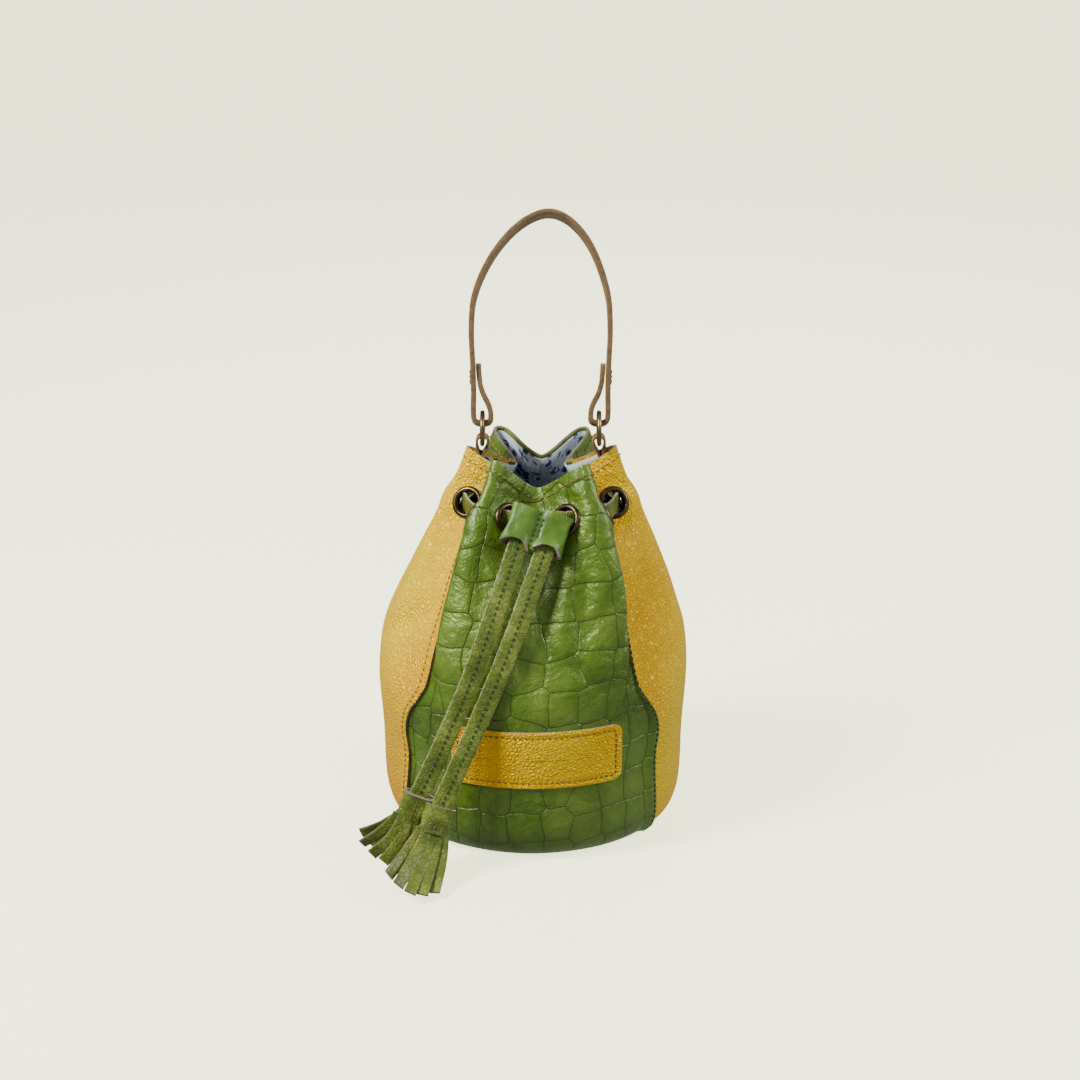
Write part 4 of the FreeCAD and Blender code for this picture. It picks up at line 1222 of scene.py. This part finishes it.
def build_slider():
    """Two flat leather tubes side by side, sewn together down the middle."""
    top = hang_point(*HANG_ROUTE[0], 0)
    along = (hang_point(*HANG_ROUTE[1], 0) - top).normalized()
    face = along.cross(ACROSS).normalized()
    level_way = Vector((math.cos(SLIDER_LEAN), 0, -math.sin(SLIDER_LEAN)))
    pieces = []
    for sign in (-1, 1):
        line = []
        for step in range(25):
            share = step / 24
            line.append(top + along * (SLIDER_LONG * share) + level_way * (sign * (8.1 + 0.5 * share)))
        pieces.append(flat_tube("tube", line, lambda share: 8.3 - 0.5 * math.sin(math.pi * share),
                                lambda share: 4.1 - 0.7 * math.sin(math.pi * share) ** 2 + 1.1 * share ** 2,
                                -level_way, 1.7, [GREEN_SMOOTH, RAW_BROWN],
                                 "slider", 2.5, 0.8,
                                4.2))
    middle = [top + along * (SLIDER_LONG * (0.02 + 0.96 * step / 20)) for step in range(21)]
    pieces.append(ribbon("bridge", middle, 4.4, 4.6, -level_way, [GREEN_SMOOTH, RAW_BROWN, GREEN_SMOOTH],
                         "slider"))
    slider = join("leather_slider", pieces, "slider")
    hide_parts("slider")
    for sign in (-1, 1):
        seam = [(spot + face * 2.35 + level_way * (sign * 1.3), face) for spot in middle]
        stitches(f"slider_stitches_{'right' if sign > 0 else 'left'}", seam, GREEN_THREAD, 3.0, 0.7,
                 "slider")


build_slider()


# ---------------------------------------------------------------------------
# Handle, ring tabs and the CAD pieces that show
# ---------------------------------------------------------------------------

MOUTH_SHIFT = 4.5
RING_CENTRE = 219.0
RING_OFFSET = 31.6
BAR_HEIGHT = 212.75
HANDLE_LEAN = math.radians(22.0)
HANDLE_THICK, HANDLE_WIDE, HANDLE_END_WIDE = 2.8, 17.0, 12.0
# The strap's middle line from the left folded end over the crown to the right one, across and up
# the handle's plane from the middle of the hinge line
LEFT_LEG = [(-33.9, 36.0), (-33.5, 27.0), (-31.8, 20.0), (-28.4, 14.0), (-27.0, 9.0), (-27.2, 3.2),
            (-36.2, 3.2),
            (-36.6, 10.0), (-36.4, 19.0), (-36.6, 27.0), (-37.0, 38.0), (-38.0, 54.0)]
CROWN = [(-36.8, 74.0), (-26.0, 97.0), (-10.0, 114.5), (8.0, 120.8), (26.0, 105.5), (37.0, 76.0)]
HANDLE_LINE = LEFT_LEG + CROWN + [(-across, up) for across, up in reversed(LEFT_LEG)]


def in_handle(across, up, out=0.0):
    """A point of the handle's plane, which leans back at rest."""
    return Vector((MOUTH_SHIFT + across, up * math.sin(HANDLE_LEAN) + out * math.cos(HANDLE_LEAN),
                   RING_CENTRE + up * math.cos(HANDLE_LEAN) - out * math.sin(HANDLE_LEAN)))


def build_handle():
    """The top handle: one strap, each end folded round its ring and sewn to itself."""
    line, length = spline_line("handle_line", [in_handle(*spot) for spot in HANDLE_LINE], 1.4)

    def width(share):
        from_end = length * min(share, 1 - share)
        wide = HANDLE_END_WIDE + (HANDLE_WIDE - HANDLE_END_WIDE) * smooth_step(42.0, 78.0, from_end)
        rounding = min(from_end / 5.0, 1.0)
        return wide * max(0.35, math.sqrt(1 - (1 - rounding) ** 2))

    side = -(in_handle(0, 0, 1) - in_handle(0, 0, 0))
    strap = ribbon("handle_leather", line, width, HANDLE_THICK, side, [TAN, RAW_TAN, TAN],
                   "handle", crease=0.08, crease_pitch=9.0, ragged=0.18)
    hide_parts("handle_strap")
    for sign, word in ((-1, "left"), (1, "right")):
        for row, out in (("front", -3.6), ("back", 3.6)):
            seam = []
            for step in range(9):
                up = 24.5 + step
                face = sign * (36.6 + HANDLE_THICK / 2 + 0.03 * step)
                normal = Vector((sign, 0, 0))
                seam.append((in_handle(face, up, out), normal))
            stitches(f"{word}_end_stitches_{row}", seam, BROWN_THREAD, 3.0, 0.7, "handle")


build_handle()

TAB_SLANT = math.radians(8.0)
TAB_LINE = [(0.8, 11.3), (0.8, 7.0), (3.0, 3.2), (3.0, -3.0),
            (-3.0, -3.0), (-3.0, 3.2), (-0.8, 7.0), (-0.8, 11.3)]


def build_ring_tab(side, sign):
    """A narrow strap folded round the ring's straight bar, its ends sewn inside the side lobe."""
    bar = Vector((MOUTH_SHIFT + sign * RING_OFFSET, 0, BAR_HEIGHT))
    tail = Vector((sign * math.sin(TAB_SLANT), 0, -math.cos(TAB_SLANT)))
    over = Vector((-tail.z, 0, tail.x))
    line, _ = spline_line("tab_line", [bar + over * a + tail * t for a, t in TAB_LINE], 0.7)
    tab = ribbon(f"{side}_tab_leather", line, 9.2, 1.4, Vector((0, 1, 0)), [TAN, RAW_TAN, TAN],
                 ragged=0.15)
    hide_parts(f"{side}_ring_tab")


build_ring_tab("left", -1)
build_ring_tab("right", 1)

NODE_SKINS = {
    "left_ring": RING_BRASS, "right_ring": RING_BRASS, "base_stiffener": BOARD, "lining_base": LINING,
    "base_panel": crocodile("green_base", (0.04, 0.11, 0.010), (0.08, 0.20, 0.02), (0.14, 0.29, 0.05),
                            from_map=False),
}
for node, skin in NODE_SKINS.items():
    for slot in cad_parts[node].material_slots:
        slot.link = "OBJECT"
        slot.material = skin


# ---------------------------------------------------------------------------
# Floor
# ---------------------------------------------------------------------------

def build_floor():
    """A pale floor that sweeps up behind into a backdrop."""
    profile = [(-3.0, 0.0), (1.2, 0.0), (1.9, 0.04), (2.5, 0.2),
               (2.95, 0.55), (3.2, 1.1), (3.3, 1.8), (3.3, 4.0)]
    points = []
    for x in (-4.0, 4.0):
        points += [Vector((x, y, z)) / MM for y, z in profile]
    rows = len(profile)
    faces = [(r, rows + r, rows + r + 1, r + 1) for r in range(rows - 1)]
    paper = Surface("studio_paper", Roughness=0.9, Specular_IOR_Level=0.1, Emission_Strength=3.0,
                    Emission_Color=(0.80, 0.80, 0.50, 1.0))
    tooth = paper.noise(60.0, 3.0)
    skin = paper.finish(paper.ramp(tooth, (0.2, (0.765, 0.775, 0.69)), (0.8, (0.785, 0.795, 0.71))),
                        height=tooth, depth=0.0001)
    mesh = bpy.data.meshes.new("floor")
    mesh.from_pydata([tuple(MM * c for c in point) for point in points], [], faces)
    mesh.materials.append(skin)
    mesh.polygons.foreach_set("use_smooth", [True] * len(mesh.polygons))
    floor = bpy.data.objects.new("floor", mesh)
    bpy.context.scene.collection.objects.link(floor)
    floor.visible_diffuse = False
    floor.visible_glossy = False


build_floor()

bpy.context.view_layer.update()
